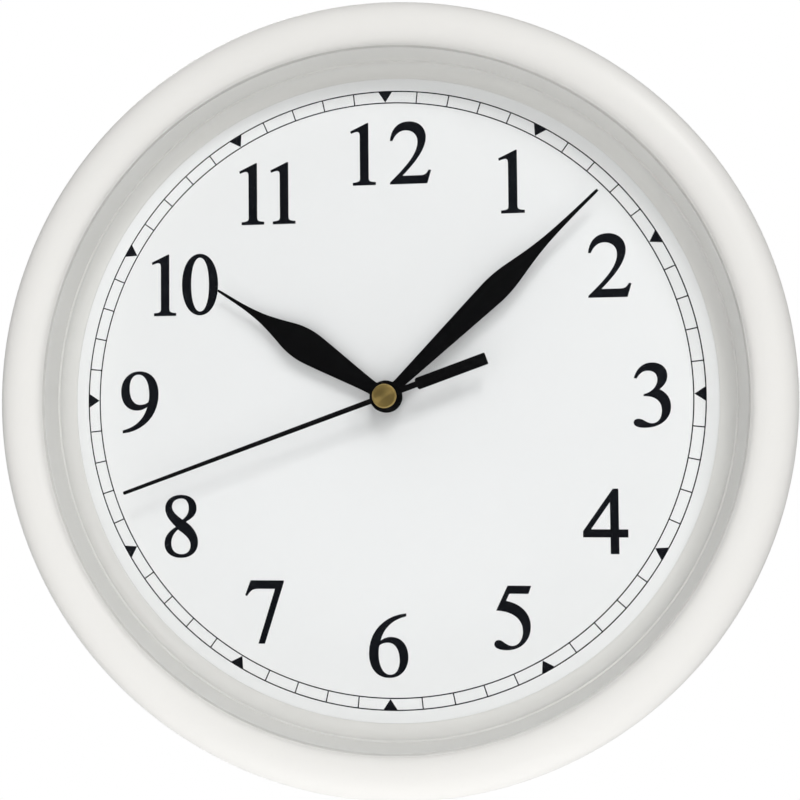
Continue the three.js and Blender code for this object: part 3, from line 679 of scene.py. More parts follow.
def floor_paint():
    finish = Finish("floor_paint", Specular_IOR_Level=0.2)
    handling = finish.group(HANDLING, Scale=5, Amount=1)
    finish.colour(shade(0.80, 0.80, 0.80), (handling["Patches"], shade(0.785, 0.785, 0.785)))
    finish.roughness(handling["Patches"], 0.6, 0.75)
    return finish.material


FINISH = {make.__name__: make() for make in (
    case_plastic, lens_clear, dial_paper, print_ink, hand_black, cap_brass, plate_plastic,
    movement_plastic, gear_acetal, zinc_steel, spring_steel, coil_copper, board_green, magnet_dark,
    battery_jacket, floor_paint)}


# ---- case ----------------------------------------------------------------------------------------
def ring_profile():
    """The ring's section, from the flange on the card over the crest to the rim and the hollow behind."""
    seat = CARD.front + 0.03
    cove_foot = seat + FLANGE_EDGE
    cove_top = cove_foot + COVE_HEIGHT
    groove_back, groove_front = LENS.back - 0.15, LENS.front + 0.2
    groove_radius = LENS.radius + FIT
    crest_foot = RING.front - CREST_RISE
    rim = RING.radius - 1
    inner = rim - RING_WALL
    cove = sweep((FLANGE_RADIUS, cove_top), (COVE_WIDTH, COVE_HEIGHT), 270, 360, 12)
    crest_inner = sweep((CREST_RADIUS, crest_foot),
                        (CREST_RADIUS - LIP_RADIUS - 0.2, CREST_RISE), 180, 90, 20)
    crest_outer = sweep((CREST_RADIUS, SHOULDER_DEPTH),
                        (RING.radius - CREST_RADIUS, RING.front - SHOULDER_DEPTH), 90, 0, 36)
    roof, roof_side, web, web_foot = 36.5, 35.6, 115, 31
    hollow = [(inner - 0.6, 33.2, 2), (inner - 3, roof_side, 1.5), (CREST_RADIUS, roof, 1.5),
              (web + 0.4, roof_side, 1), (web, 33, 1), (LENS.radius + 0.7, web_foot, 1),
              (LENS.radius + 0.5, seat, 0.1)]
    return rounded([
        (FLANGE_RADIUS, seat, 0), *cove,
        (cove[-1][0], cove_top + FLANGE_STEP, 0.3), (WALL_RADIUS, cove_top + FLANGE_STEP, 0.25),
        (WALL_RADIUS, groove_back, 0.12), (groove_radius, groove_back, 0.1),
        (groove_radius, groove_front, 0.1), (LIP_RADIUS, groove_front, 0.12),
        (LIP_RADIUS, crest_foot - 0.1, 0.1), *crest_inner, *crest_outer[1:],
        (RING.radius - 0.6, 6, 0), (rim, 0, 0.9), (inner, 0, 0.9), (inner + 0.3, SHOULDER_DEPTH, 2),
        *hollow,
    ])


def case_ring():
    """The moulded ring with the four screw bosses under its crest."""
    ring = revolve(bmesh.new(), ring_profile(), 288)
    bosses, pilots = bmesh.new(), bmesh.new()
    foot, root = 19.5, 34.6
    boss = rounded([(0, foot, 0), (BOSS_RADIUS, foot, 0.3), (BOSS_RADIUS, root, 0), (0, root, 0)])
    pilot_radius, pilot_end = 1.3, 30
    pilot = [(0, 10), (pilot_radius, 10), (pilot_radius, pilot_end), (0, pilot_end)]
    for angle in BOSS_ANGLES:
        x, z = polar(BOSS_CIRCLE, angle)
        revolve(bosses, boss, 48, (x, 0, z))
        revolve(pilots, pilot, 24, (x, 0, z))
    data = combined(as_mesh(ring, "ring"), as_mesh(bosses, "bosses"), "UNION")
    data = combined(data, as_mesh(pilots, "pilots"), "DIFFERENCE")
    piece("ring_moulding", data, "clock_case", FINISH["case_plastic"], ["case_ring"])


def lens():
    edge = 0.2
    profile = rounded([(0, LENS.back, 0), (LENS.radius, LENS.back, edge), (LENS.radius, LENS.front, edge),
                       (0, LENS.front, 0)])
    data = as_mesh(revolve(bmesh.new(), profile, 256), "lens")
    piece("lens_disc", data, "clock_case", FINISH["lens_clear"], ["lens"])


def dial_card():
    edge = 0.06
    profile = rounded([(CENTRE_BORE, CARD.back, 0), (CARD.radius, CARD.back, 0),
                       (CARD.radius, CARD.front, edge), (CENTRE_BORE, CARD.front, edge)], 2)
    data = as_mesh(revolve(bmesh.new(), profile, 256), "card")
    piece("card_disc", data, "clock_case", FINISH["dial_paper"], ["dial_card"])


# ---- print on the card ---------------------------------------------------------------------------
# Each numeral is drawn one cap height tall from the lower left corner. A path starts at a point and
# goes on with (x, z) for a straight line or (x1, z1, x2, z2, x, z) for a curve.
GLYPHS = {
    "0": (0.593, [
        [(0.297, 1), (0.47, 1, 0.593, 0.79, 0.593, 0.5), (0.593, 0.21, 0.47, 0, 0.297, 0),
         (0.12, 0, 0, 0.21, 0, 0.5), (0, 0.79, 0.12, 1, 0.297, 1)],
        [(0.297, 0.945), (0.205, 0.945, 0.145, 0.77, 0.145, 0.5), (0.145, 0.23, 0.205, 0.055, 0.297, 0.055),
         (0.39, 0.055, 0.45, 0.23, 0.45, 0.5), (0.45, 0.77, 0.39, 0.945, 0.297, 0.945)],
    ]),
    "1": (0.40, [
        [(0.285, 1), (0.268, 1), (0, 0.875), (0.01, 0.842), (0.08, 0.872, 0.152, 0.90, 0.152, 0.80),
         (0.152, 0.115), (0.152, 0.06, 0.13, 0.045, 0.035, 0.04), (0.035, 0), (0.40, 0), (0.40, 0.04),
         (0.31, 0.045, 0.285, 0.06, 0.285, 0.115)],
    ]),
    "2": (0.654, [
        [(0, 0), (0.592, 0), (0.654, 0.205), (0.62, 0.213), (0.585, 0.145, 0.56, 0.128, 0.48, 0.126),
         (0.19, 0.126), (0.33, 0.27, 0.575, 0.52, 0.575, 0.74), (0.575, 0.90, 0.46, 1, 0.305, 1),
         (0.135, 1, 0.03, 0.90, 0.004, 0.704), (0.04, 0.70), (0.08, 0.80, 0.155, 0.865, 0.25, 0.865),
         (0.37, 0.865, 0.448, 0.785, 0.448, 0.675), (0.448, 0.49, 0.29, 0.30, 0, 0.025)],
    ]),
    "3": (0.557, [
        [(0.015, 0.772), (0.06, 0.92, 0.155, 1, 0.287, 1), (0.42, 1, 0.51, 0.92, 0.51, 0.80),
         (0.51, 0.71, 0.46, 0.65, 0.385, 0.588), (0.49, 0.54, 0.557, 0.45, 0.557, 0.325),
         (0.557, 0.13, 0.39, 0, 0.165, 0), (0.06, 0, 0, 0.03, 0, 0.075), (0, 0.108, 0.03, 0.13, 0.072, 0.13),
         (0.14, 0.13, 0.19, 0.058, 0.275, 0.058), (0.37, 0.058, 0.43, 0.145, 0.43, 0.265),
         (0.43, 0.41, 0.33, 0.492, 0.158, 0.492), (0.158, 0.510), (0.29, 0.545, 0.37, 0.64, 0.37, 0.745),
         (0.37, 0.83, 0.31, 0.885, 0.225, 0.885), (0.15, 0.885, 0.095, 0.85, 0.048, 0.765)],
    ]),
    "4": (0.68, [
        [(0, 0.256), (0.417, 0.256), (0.417, 0), (0.54, 0), (0.54, 0.256), (0.68, 0.256), (0.68, 0.372),
         (0.54, 0.372), (0.54, 1), (0.462, 1), (0, 0.345)],
        [(0.112, 0.372), (0.417, 0.81), (0.417, 0.372)],
    ]),
    "5": (0.586, [
        [(0.218, 1), (0.586, 1), (0.54, 0.872), (0.245, 0.872), (0.195, 0.765),
         (0.42, 0.725, 0.57, 0.575, 0.57, 0.38), (0.57, 0.15, 0.41, 0, 0.19, 0), (0.07, 0, 0, 0.035, 0, 0.09),
         (0, 0.13, 0.03, 0.158, 0.075, 0.158), (0.14, 0.158, 0.19, 0.07, 0.275, 0.07),
         (0.375, 0.07, 0.445, 0.17, 0.445, 0.30), (0.445, 0.49, 0.28, 0.605, 0.035, 0.61)],
    ]),
    "6": (0.615, [
        [(0.587, 1), (0.25, 0.965, 0, 0.72, 0, 0.37), (0, 0.14, 0.12, 0, 0.315, 0),
         (0.49, 0, 0.615, 0.135, 0.615, 0.325), (0.615, 0.51, 0.51, 0.63, 0.355, 0.63),
         (0.29, 0.63, 0.235, 0.61, 0.175, 0.565), (0.225, 0.77, 0.37, 0.91, 0.587, 0.96)],
        [(0.30, 0.548), (0.25, 0.548, 0.20, 0.535, 0.16, 0.50), (0.15, 0.47, 0.145, 0.43, 0.145, 0.37),
         (0.145, 0.19, 0.21, 0.042, 0.33, 0.042), (0.42, 0.042, 0.485, 0.125, 0.485, 0.275),
         (0.485, 0.43, 0.42, 0.548, 0.30, 0.548)],
    ]),
    "7": (0.627, [
        [(0.088, 1), (0.627, 1), (0.627, 0.978), (0.318, 0), (0.215, 0), (0.485, 0.868), (0.225, 0.868),
         (0.13, 0.868, 0.085, 0.845, 0.03, 0.75), (0, 0.765)],
    ]),
    "8": (0.54, [
        [(0.266, 1), (0.42, 1, 0.516, 0.915, 0.516, 0.79), (0.516, 0.70, 0.455, 0.635, 0.335, 0.575),
         (0.475, 0.475, 0.54, 0.36, 0.54, 0.245), (0.54, 0.095, 0.43, 0, 0.265, 0),
         (0.10, 0, 0, 0.09, 0, 0.225), (0, 0.325, 0.06, 0.415, 0.19, 0.49),
         (0.075, 0.60, 0.01, 0.69, 0.01, 0.79), (0.01, 0.915, 0.115, 1, 0.266, 1)],
        [(0.275, 0.955), (0.175, 0.955, 0.11, 0.90, 0.11, 0.815), (0.11, 0.745, 0.17, 0.68, 0.29, 0.60),
         (0.36, 0.65, 0.40, 0.71, 0.40, 0.79), (0.40, 0.89, 0.35, 0.955, 0.275, 0.955)],
        [(0.215, 0.455), (0.36, 0.36, 0.43, 0.285, 0.43, 0.195), (0.43, 0.105, 0.37, 0.045, 0.275, 0.045),
         (0.17, 0.045, 0.098, 0.115, 0.098, 0.225), (0.098, 0.31, 0.13, 0.385, 0.215, 0.455)],
    ]),
}
# How far the ink spreads past a figure's outline, for some figures and for all the others.
BOLDER = {"3": 0.13, "5": -0.02, "7": 0.03, "8": 0.15, "9": 0.13}
SPREAD = 0.09
# Gap between a numeral's two figures, in cap heights.
SPACING = {"10": 0.105, "11": 0.115, "12": 0.235}

# Middle of each numeral on the dial. The numerals stand a little off an even circle.
NUMERAL_PLACES = {
    "12": (1.6, 81.5), "1": (41.5, 70.6), "2": (72.7, 42.1), "3": (85.4, -0.3), "4": (70.0, -40.8),
    "5": (40.0, -72.0), "6": (-0.5, -81.4), "7": (-41.8, -70.9), "8": (-70.2, -42.6), "9": (-84.6, -0.7),
    "10": (-68.9, 39.0), "11": (-40.3, 69.3),
}


def half_turn(glyph):
    """The same figure upside down, as a nine is to a six."""
    width, paths = glyph
    flipped = [[tuple((width if k % 2 == 0 else 1) - value for k, value in enumerate(step)) for step in path]
               for path in paths]
    return width, flipped


GLYPHS["9"] = half_turn(GLYPHS["6"])


def anchors(path, left, low):
    """A glyph's path as closed Bezier anchors at its place on the dial."""
    def at(x, z):
        return left + x * NUMERAL_HEIGHT, low + z * NUMERAL_HEIGHT

    found = [[at(*path[0])] * 3]
    for step in path[1:]:
        if len(step) == 6:
            found[-1][2] = at(*step[0:2])
            found.append([at(*step[2:4]), at(*step[4:6]), at(*step[4:6])])
        else:
            found.append([at(*step)] * 3)
    first, last = found[0], found[-1]
    if (Vector(first[1]) - Vector(last[1])).length < 1e-6:
        first[0] = last[0]
        found.pop()
    return found


def numerals():
    parts = []
    for number, (x, z) in NUMERAL_PLACES.items():
        gap = SPACING.get(number, 0)
        width = sum(GLYPHS[figure][0] for figure in number) + gap * (len(number) - 1)
        left = x - width * NUMERAL_HEIGHT / 2
        for figure in number:
            paths = [anchors(path, left, z - NUMERAL_HEIGHT / 2) for path in GLYPHS[figure][1]]
            parts.append(outlined(paths, CARD.front - INK_DEPTH, CARD.front + INK_DEPTH,
                                  grow=BOLDER.get(figure, SPREAD)))
            left += (GLYPHS[figure][0] + gap) * NUMERAL_HEIGHT
    piece("dial_numerals", merged(*parts), "clock_case", FINISH["print_ink"])


def minute_track():
    """Two fine circles with a tick for each minute, and a triangle for each hour."""
    mesh = bmesh.new()
    back, front = CARD.front - INK_DEPTH, CARD.front + INK_DEPTH
    for radius in (TRACK_INNER, TRACK_OUTER):
        inner, outer = radius - LINE_WIDTH / 2, radius + LINE_WIDTH / 2
        revolve(mesh, [(inner, back), (outer, back), (outer, front), (inner, front)], 256)
    tick_inner, tick_outer = TRACK_INNER + LINE_WIDTH / 2, TRACK_OUTER - LINE_WIDTH / 2
    for minute in range(60):
        turn = Matrix.Rotation(-math.radians(6 * minute), 2)
        half = LINE_WIDTH / 2
        outline = [(-half, tick_inner), (half, tick_inner), (half, tick_outer), (-half, tick_outer)]
        if minute % 5 == 0:
            side, base = MARKER_BASE / 2, tick_outer + 0.1
            outline = [(0, tick_inner), (side, base), (-side, base)]
        prism(mesh, [turn @ Vector(p) for p in outline], back, front)
    piece("minute_track", as_mesh(mesh, "track"), "clock_case", FINISH["print_ink"])


# ---- hands ---------------------------------------------------------------------------------------
HUB_RADIUS = 5.2
BLADE_START = 3.0                 # a leaf blade starts this far from the axis, inside its hub


def tip_angle(node):
    """Direction of a hand as it stands at rest: the angle of its farthest point, clockwise from twelve."""
    tip = max((Vector((v.co.x - AXIS.x, v.co.z - AXIS.z)) for v in frame["nodes"][node].data.vertices),
              key=lambda place: place.length)
    return math.degrees(math.atan2(tip.x, tip.y))


def blade_corners(node, start_half):
    """A leaf blade's (distance, half width) corners out to the tip, as its CAD node has them."""
    corners = {(round((v.co.x - AXIS.x) / MM, 4), round((v.co.z - AXIS.z) / MM, 4))
               for v in frame["nodes"][node].data.vertices}
    corners = [Vector(p) for p in sorted(corners)]
    reach = max(p.length for p in corners)
    along = sum((p for p in corners if p.length > reach - 0.01), Vector((0, 0))).normalized()
    outside = {(round(p.dot(along), 2), round(abs(p.cross(along)), 2))
               for p in corners if p.length > HUB_RADIUS + 0.05}
    return [(BLADE_START, start_half)] + sorted(outside)


def flowing(stations, steps=4):
    """(distance, half width) stations joined by one smooth curve."""
    points = []
    for k in range(len(stations) - 1):
        around = [Vector(stations[max(0, min(len(stations) - 1, k + j))]) for j in (-1, 0, 1, 2)]
        for step in range(steps):
            t = step / steps
            before, start, end, after = around
            points.append(0.5 * (2 * start + (end - before) * t
                                 + (2 * before - 5 * start + 4 * end - after) * t * t
                                 + (3 * start - before - 3 * end + after) * t ** 3))
    points.append(Vector(stations[-1]))
    return points


def hub_arc(radius, half_start, half_end, steps=40):
    """Clockwise arc of a hub from the right side of the blade round below to its left side."""
    start, end = math.asin(half_start / radius), 2 * math.pi - math.asin(half_end / radius)
    return [(radius * math.sin(start + (end - start) * k / steps),
             radius * math.cos(start + (end - start) * k / steps)) for k in range(steps + 1)]


def turned_to(outline, angle):
    turn = Matrix.Rotation(-math.radians(angle), 2)
    return [tuple(turn @ Vector(p)) for p in outline]


def circle(radius, steps=48, centre=(0, 0)):
    angles = [2 * math.pi * k / steps for k in range(steps)]
    return [(centre[0] + radius * math.cos(a), centre[1] + radius * math.sin(a)) for a in angles]


def leaf_hand(node, start_half, bore, body):
    """A stamped hand with a leaf blade that is start_half wide to each side inside the hub."""
    room = Room(node)
    blade = [p for p in flowing(blade_corners(node, start_half)) if p.x > HUB_RADIUS]
    half = blade[0].y
    outline = [(-p.y, p.x) for p in blade] + [(p.y, p.x) for p in reversed(blade)]
    outline += hub_arc(HUB_RADIUS, half, half)
    paths = [turned_to(outline, tip_angle(node)), circle(bore)]
    data = outlined(paths, room.back, room.front, edge=0.07)
    piece(f"{node}_blade", data, body, FINISH["hand_black"], [node])


def second_hand():
    node = "second_hand"
    room = Room(node)
    hub, stem = 3.0, 0.97
    weight_half, weight_start, weight_end = 1.93, 10.8, 34.4
    shoulder = 0.5
    start, end = math.asin(0.85 / hub), math.pi - math.asin(stem / hub)
    side = [(hub * math.sin(start + (end - start) * k / 16), hub * math.cos(start + (end - start) * k / 16))
            for k in range(17)]
    right = [(0.3, 91), (0.57, 90.7), *side, (stem, -weight_start), (weight_half - shoulder, -weight_start),
             (weight_half, -weight_start - shoulder), (weight_half, -weight_end + 0.2),
             (weight_half - 0.2, -weight_end)]
    outline = right + [(-x, z) for x, z in reversed(right)]
    paths = [turned_to(outline, tip_angle(node)), circle(1.35, 32)]
    piece("second_hand_blade", outlined(paths, room.back, room.front, edge=0.05), "second_hand_body",
          FINISH["hand_black"], [node])


def second_hand_fittings():
    """The brass tube that the second hand is riveted to, and the turned cap over it."""
    tube = Room("second_hand_tube")
    profile = rounded([(0.6, tube.back, 0.1), (tube.radius, tube.back, 0.15), (tube.radius, tube.front, 0.1),
                       (0.6, tube.front, 0.1)])
    piece("second_hand_pipe", as_mesh(revolve(bmesh.new(), profile, 48), "tube"), "second_hand_body",
          FINISH["cap_brass"], ["second_hand_tube"])
    rim, dish = 0.35, 0.12
    floor_of_dish = CAP.front - dish * 1.4
    profile = rounded([
        (0, CAP.back, 0), (CAP.radius, CAP.back, 0.1), (CAP.radius, CAP.front - rim, 0.1),
        (CAP.radius - rim, CAP.front, 0.12), (CAP.radius - 0.75, CAP.front, 0.08),
        (CAP.radius - 0.9, CAP.front - dish, 0.08), (0.5, floor_of_dish, 0.3), (0, floor_of_dish, 0),
    ])
    piece("second_hand_button", as_mesh(revolve(bmesh.new(), profile, 128), "cap"), "second_hand_body",
          FINISH["cap_brass"], ["second_hand_cap"], crease=24)


# ---- back of the case ----------------------------------------------------------------------------
def dial_plate():
    """The plate behind the card, with a round rib, spokes, hooks for the movement and hanger pillars."""
    front = PLATE.front
    back = front - 2
    rib_top = back - 3
    rib_inner, rib_outer, draft = 62.1, 63.5, 0.3
    disc = revolve(bmesh.new(), rounded([
        (CENTRE_BORE, back, 0.2), (CENTRE_BORE, front, 0.2),
        (PLATE.radius, front, 0.3), (PLATE.radius, back, 0.3),
        (rib_outer + draft, back, 0.5), (rib_outer, rib_top, 0.3),
        (rib_inner, rib_top, 0.3), (rib_inner - draft, back, 0.5),
    ]), 256)
    extras, holes = bmesh.new(), bmesh.new()
    spoke_half, spoke_start, spoke_end = 0.8, 62.6, 107
    spoke = [(-spoke_half, spoke_start), (spoke_half, spoke_start), (spoke_half, spoke_end),
             (-spoke_half, spoke_end)]
    for angle in range(0, 360, 45):
        turn = Matrix.Rotation(-math.radians(angle), 2)
        prism(extras, [turn @ Vector(p) for p in spoke], rib_top + 0.1, back + 0.6, 0.985)
    seat = HANGER.front + 0.05
    inner = HOUSING.right + FIT
    outer, tip, catch = inner + 1.8, HOUSING.right - 1.2, HOUSING.back - FIT
    for side in (-1, 1):
        pillar = Room(f"hanger_screw_{1 if side < 0 else 2}")
        revolve(extras, rounded([(0, seat, 0), (3.5, seat, 0.3), (3.8, back, 0.4), (4.2, back + 0.5, 0),
                                 (0, back + 0.5, 0)]), 40, (pillar.x, 0, pillar.z))
        revolve(holes, [(0, 0), (1.2, 0), (1.2, 12), (0, 12)], 24, (pillar.x, 0, pillar.z))
        hook = [(inner, back + 0.5), (outer, back + 0.5), (outer, 1.2), (tip + 0.9, 1.2), (tip, catch),
                (inner, catch)]
        hook_piece(extras, [(side * x, depth) for x, depth in hook], 4, 14)
    for angle in BOSS_ANGLES:
        x, z = polar(BOSS_CIRCLE, angle)
        revolve(holes, [(0, 0), (1.7, 0), (1.7, 30), (0, 30)], 32, (x, 0, z))
    data = combined(as_mesh(disc, "disc"), as_mesh(extras, "extras"), "UNION")
    data = combined(data, as_mesh(holes, "holes"), "DIFFERENCE")
    piece("back_plate", data, "clock_case", FINISH["plate_plastic"], ["dial_plate"])


def hook_piece(mesh, outline, low, high):
    """Adds a solid with an (x, depth) outline between two heights."""
    ends = [[mesh.verts.new((x, -depth, z)) for x, depth in outline] for z in (low, high)]
    mesh.faces.new(ends[0])
    mesh.faces.new(ends[1][::-1])
    for k in range(len(outline)):
        following = (k + 1) % len(outline)
        mesh.faces.new((ends[0][following], ends[0][k], ends[1][k], ends[1][following]))


def rounded_rectangle(left, right, low, high, corner):
    corners = [(left, low), (right, low), (right, high), (left, high)]
    return [tuple(p) for p in rounded([(x, z, corner) for x, z in corners], 8)]


def hanger_plate():
    """The steel plate with its keyhole: a slot that the wall screw bears in, above a wider entry."""
    slot, entry = 2.1, 4.2
    slot_z, entry_z = KEYHOLE_TOP - slot, 101.5
    meet = math.degrees(math.asin(slot / entry))
    keyhole = [(x, slot_z + z) for x, z in (polar(slot, a) for a in range(-90, 91, 12))]
    round_entry = [polar(entry, meet + (360 - 2 * meet) * k / 36) for k in range(37)]
    keyhole += [(x, entry_z + z) for x, z in round_entry]
    holes = [circle(1.7, 32, (Room(f"hanger_screw_{k}").x, Room(f"hanger_screw_{k}").z)) for k in (1, 2)]
    paths = [rounded_rectangle(HANGER.left, HANGER.right, HANGER.bottom, HANGER.top, 3), keyhole, *holes]
    data = outlined(paths, HANGER.back, HANGER.front, edge=0.15)
    piece("hanger_bracket", data, "clock_case", FINISH["zinc_steel"], ["hanger_plate"])


def screw(node, head_height, shank_radius, pitch=0.8):
    """Pan-head screw with a cross recess and rolled thread, driven towards the front."""
    room = Room(node)
    under = room.back + head_height
    corners = [(0, room.back, 0), (room.radius * 0.62, room.back, 0.5),
               (room.radius, room.back + head_height * 0.5, 0.45), (room.radius, under, 0.1),
               (shank_radius, under, 0)]
    root, point = shank_radius * 0.74, 1.6
    depth = under + 1.2
    while depth < room.front - 2.2:
        corners += [(root, depth, 0), (shank_radius, depth + pitch / 2, 0)]
        depth += pitch
    corners += [(root, room.front - point, 0), (0, room.front, 0)]
    body = as_mesh(revolve(bmesh.new(), rounded(corners), 40, (room.x, 0, room.z)), "screw")
    recess = bmesh.new()
    arm, width = room.radius * 0.6, room.radius * 0.15
    bottom = room.back + head_height * 0.6
    corners = [(-width, -arm), (width, -arm), (width, -width), (arm, -width), (arm, width), (width, width),
               (width, arm), (-width, arm), (-width, width), (-arm, width), (-arm, -width), (-width, -width)]
    prism(recess, [(room.x + x, room.z + z) for x, z in corners], room.back - 0.5, bottom, 1.35)
    data = combined(body, as_mesh(recess, "recess"), "DIFFERENCE")
    piece(f"{node}_body", data, "clock_case", FINISH["zinc_steel"], [node],
          about=(room.x, room.z))


def screws():
    for k in range(1, 5):
        screw(f"plate_screw_{k}", 1.8, 1.3)
    for k in (1, 2):
        screw(f"hanger_screw_{k}", 1.5, 1.0, 0.7)
        screw(f"cover_screw_{k}", 1.2, 0.8, 0.6)


# ---- movement ------------------------------------------------------------------------------------
def movement():
    black = FINISH["movement_plastic"]
    piece("movement_case", refined("movement_housing", 0.3, 3), "clock_case", black, ["movement_housing"])
    piece("movement_lid", refined("movement_cover", 0.15), "clock_case", black, ["movement_cover"])
    piece("lid_marks", lid_marks(), "clock_case", black)


def lid_marks():
    """Raised marks on the lid: the setting knob's arrow, and plus and minus over the battery's ends."""
    def bar(left, right, bottom, top):
        return [(left, bottom), (right, bottom), (right, top), (left, top)]

    arc = [polar(7.6, a) for a in range(-50, 51, 5)] + [polar(6.9, a) for a in range(50, -51, -5)]
    head = [polar(8.4, 50), polar(7.25, 66), polar(6.1, 50)]
    parts = [[(KNOB.x + x, KNOB.z + z) for x, z in arc], [(KNOB.x + x, KNOB.z + z) for x, z in head]]
    arm, half, low, reach = 1.7, 0.35, -8.5, 19
    for side, upright in ((1, True), (-1, False)):
        x = side * reach
        parts.append(bar(x - arm, x + arm, low - half, low + half))
        if upright:
            for direction in (-1, 1):
                ends = sorted((low + direction * half, low + direction * arm))
                parts.append(bar(x - half, x + half, *ends))
    mesh = bmesh.new()
    for outline in parts:
        prism(mesh, outline, COVER_FACE - 0.25, COVER_FACE + 0.1, 0.97)
    return as_mesh(mesh, "marks")


def setting_knob():
    """The knurled wheel on the lid that sets the hands, with a coin slot."""
    knurls, steps = 20, 8
    count = knurls * steps
    outline = []
    for k in range(count):
        angle = 2 * math.pi * k / count
        radius = KNOB.radius - 0.25 + 0.22 * math.cos(knurls * angle)
        outline.append((KNOB.x + radius * math.cos(angle), KNOB.z + radius * math.sin(angle)))
    body = outlined([outline], KNOB.back, KNOB.front, edge=0.2)
    slot = block(bmesh.new(), (KNOB.x - 3.4, KNOB.x + 3.4), (KNOB.back - 1, KNOB.back + 0.5),
                 (KNOB.z - 0.5, KNOB.z + 0.5), 0.15)
    data = combined(body, as_mesh(slot, "slot"), "DIFFERENCE")
    piece("setting_wheel", data, "setting_knob_body", FINISH["movement_plastic"], ["setting_knob"],
          about=(KNOB.x, KNOB.z))


def battery():
    """A cell in a thin printed sleeve, with bare metal ends."""
    radius = BATTERY.front - BATTERY.depth
    can_radius, nub_radius, dish_radius = radius - 0.15, 2.6, 4.2
    left, nub = BATTERY.left, BATTERY.right
    right = nub - 1.4
    centre = (0, BATTERY.depth, BATTERY.z)
    can = rounded([(0, left + 0.3, 0), (dish_radius, left + 0.3, 0.2), (4.6, left, 0.2),
                   (can_radius, left, 0.5), (can_radius, right, 0.5), (radius - 1.2, right, 0.3),
                   (radius - 1.5, right - 0.35, 0.2), (nub_radius, right - 0.35, 0.2),
                   (nub_radius, nub, 0.4), (0, nub, 0)])
    piece("battery_can", as_mesh(revolve(bmesh.new(), can, 96, centre, "X"), "can"), "clock_case",
          FINISH["spring_steel"], ["battery"])
    film, short = 0.12, 0.1
    sleeve = rounded([(radius - film, left + short, 0), (radius, left + short, 0.05),
                      (radius, right - short, 0.05), (radius - film, right - short, 0)])
    lipped = [(radius - 1.1, left - 0.06), (radius - 0.4, left - 0.1)]
    sleeve = [Vector(p) for p in lipped] + sleeve[1:]
    piece("battery_sleeve", as_mesh(revolve(bmesh.new(), sleeve, 96, centre, "X"), "sleeve"), "clock_case",
          FINISH["battery_jacket"], ["battery"])


def battery_contacts():
    """The plain blade at the plus end, and the blade with a conical coil at the minus end."""
    piece("contact_blade", refined("battery_contact", 0.08), "clock_case", FINISH["spring_steel"],
          ["battery_contact"])
    room = Room("battery_spring")
    blade = block(bmesh.new(), (room.left, room.left + 0.4), (4, 13), (BATTERY.z - 5, BATTERY.z + 5), 0.1)
    turns, steps = 3, 40
    wide, narrow = 4.0, 2.2
    coil = []
    for k in range(turns * steps + 1):
        t = k / (turns * steps)
        angle, radius = 2 * math.pi * turns * t, wide - (wide - narrow) * t
        coil.append((room.left + 0.55 + 1.0 * t, BATTERY.depth + radius * math.sin(angle),
                     BATTERY.z + radius * math.cos(angle)))
    data = merged(as_mesh(blade, "blade"), wire(coil, 0.28, "coil"))
    piece("contact_spring", data, "clock_case", FINISH["spring_steel"], ["battery_spring"])


# Inner pieces keep their CAD shape.
KEPT = {
    "gear_acetal": ("coil_bobbin", "rotor_pinion", "step_wheel", "second_wheel", "third_wheel",
                    "centre_wheel", "minute_wheel", "hour_wheel", "cannon_pinion"),
    "spring_steel": ("quartz_crystal", "stator_plate"),
    "coil_copper": ("coil_winding",),
    "board_green": ("circuit_board",),
    "movement_plastic": ("clock_chip",),
    "magnet_dark": ("coil_core", "rotor_magnet"),
}


def kept_nodes():
    for finish, nodes in KEPT.items():
        for node in nodes:
            data = frame["nodes"][node].data
            data.materials.clear()
            data.materials.append(FINISH[finish])
            data.shade_smooth()
            data.set_sharp_from_angle(angle=math.radians(CREASE))


case_ring()
lens()
dial_card()
numerals()
minute_track()
leaf_hand("hour_hand", 1.9, 2.65, "hour_hand_body")
leaf_hand("minute_hand", 1.5, 1.55, "minute_hand_body")
second_hand()
second_hand_fittings()
dial_plate()
hanger_plate()
screws()
movement()
setting_knob()
battery()
battery_contacts()
kept_nodes()


# ---- camera, floor and light -----------------------------------------------------------------------
def at(x, depth, z):
    """A place in millimetres about the hands' axis, in metres."""
    return AXIS + Vector((x, -depth, z)) * MM


def aimed(thing, place, target, roll=0.0):
    thing.location = place
    thing.rotation_euler = ((target - place).to_track_quat("-Z", "Y")
                            @ Matrix.Rotation(math.radians(roll), 3, "Z").to_quaternion()).to_euler()


def camera():
    """Close in front of the dial, a little right of the axis and a little below it."""
    data = bpy.data.cameras.new("camera")
    data.sensor_width, data.lens = 36, 33.47
    data.clip_start, data.clip_end = 0.01, 20
    made = bpy.data.objects.new("camera", data)
    bpy.context.scene.collection.objects.link(made)
    aimed(made, at(23.67, CARD.front + 247.9, -8.37), at(4.01, CARD.front, -0.94), -0.533)
    bpy.context.scene.camera = made


def area_light(name, place, width, height, watts, glossy=False):
    """A soft box aimed at the dial. The camera never sees it, and gloss shows it only if glossy is set."""
    data = bpy.data.lights.new(name, "AREA")
    data.shape, data.size, data.size_y, data.energy = "RECTANGLE", width, height, watts
    made = bpy.data.objects.new(name, data)
    bpy.context.scene.collection.objects.link(made)
    made.visible_glossy, made.visible_transmission, made.visible_camera = glossy, False, False
    aimed(made, place, at(0, CARD.front, 0))


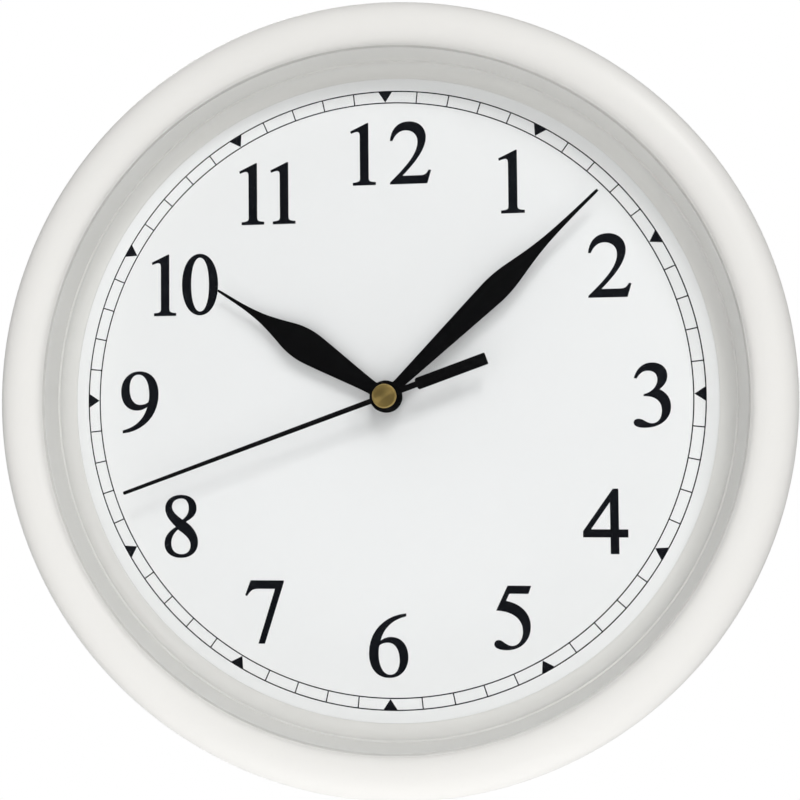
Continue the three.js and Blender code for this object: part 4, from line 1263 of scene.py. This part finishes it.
def studio():
    """Soft boxes before, above and behind the clock, and a dim surround that is dark straight ahead."""
    area_light("key", at(260, 1500, 1040), 0.5, 0.5, 9)
    area_light("overhead", at(-60, 650, 900), 1.2, 0.6, 0.7)
    area_light("front_fill", at(-60, 1200, 160), 1.3, 0.9, 4.1)
    area_light("low_fill", at(-40, 600, -220), 0.9, 0.5, 1.9)
    area_light("table_bounce", at(0, 25, -330), 0.5, 0.3, 0.5)
    area_light("gloss_strip", at(620, 850, 600), 0.2, 0.45, 2.5, glossy=True)
    area_light("back_key", at(-350, -1100, 650), 0.8, 0.8, 9, glossy=True)
    area_light("back_fill", at(600, -900, -100), 0.8, 0.8, 3.5)
    world = bpy.data.worlds.new("surround")
    bpy.context.scene.world = world
    world.use_nodes = True
    tree = world.node_tree
    tree.nodes.clear()
    seen, above, below, ahead = 1.0, 0.26, 0.24, 0.012
    direction = tree.nodes.new("ShaderNodeTexCoord").outputs["Generated"]
    height = add(tree, "ShaderNodeSeparateXYZ", {0: direction}).outputs["Z"]
    around = ramp(tree, height, -0.6, 0.6, below, above)
    facing = add(tree, "ShaderNodeVectorMath", {0: direction, 1: (0, -1, 0)}, operation="DOT_PRODUCT")
    lighting = ramp(tree, facing.outputs["Value"], 0.6, 0.88, around, ahead)
    camera_ray = tree.nodes.new("ShaderNodeLightPath").outputs["Is Camera Ray"]
    strength = add(tree, "ShaderNodeMix", {0: camera_ray, 2: lighting, 3: seen}).outputs[0]
    surround = add(tree, "ShaderNodeBackground", {"Strength": strength})
    surround.inputs["Color"].default_value = (1, 1, 1, 1)
    out = tree.nodes.new("ShaderNodeOutputWorld")
    tree.links.new(surround.outputs[0], out.inputs["Surface"])
    bpy.context.scene.view_settings.view_transform = "Standard"


def floor():
    """A plain pale disc well below the clock."""
    radius, thickness = 390, 6
    forward, drop = 10, 350
    profile = rounded([(0, 0, 0), (radius, 0, 3), (radius, thickness, 0), (0, thickness, 0)])
    data = as_mesh(revolve(bmesh.new(), profile, 128), "floor")
    data.transform(Matrix.Translation(AXIS - Vector((0, forward, drop)) * MM) @ Matrix.Scale(MM, 4)
                   @ Matrix.Rotation(math.pi / 2, 4, "X") @ Matrix.Rotation(math.pi, 4, "X"))
    data.shade_smooth()
    data.set_sharp_from_angle(angle=math.radians(CREASE))
    data.materials.append(FINISH["floor_paint"])
    made = bpy.data.objects.new("floor", data)
    bpy.context.scene.collection.objects.link(made)


camera()
studio()
floor()
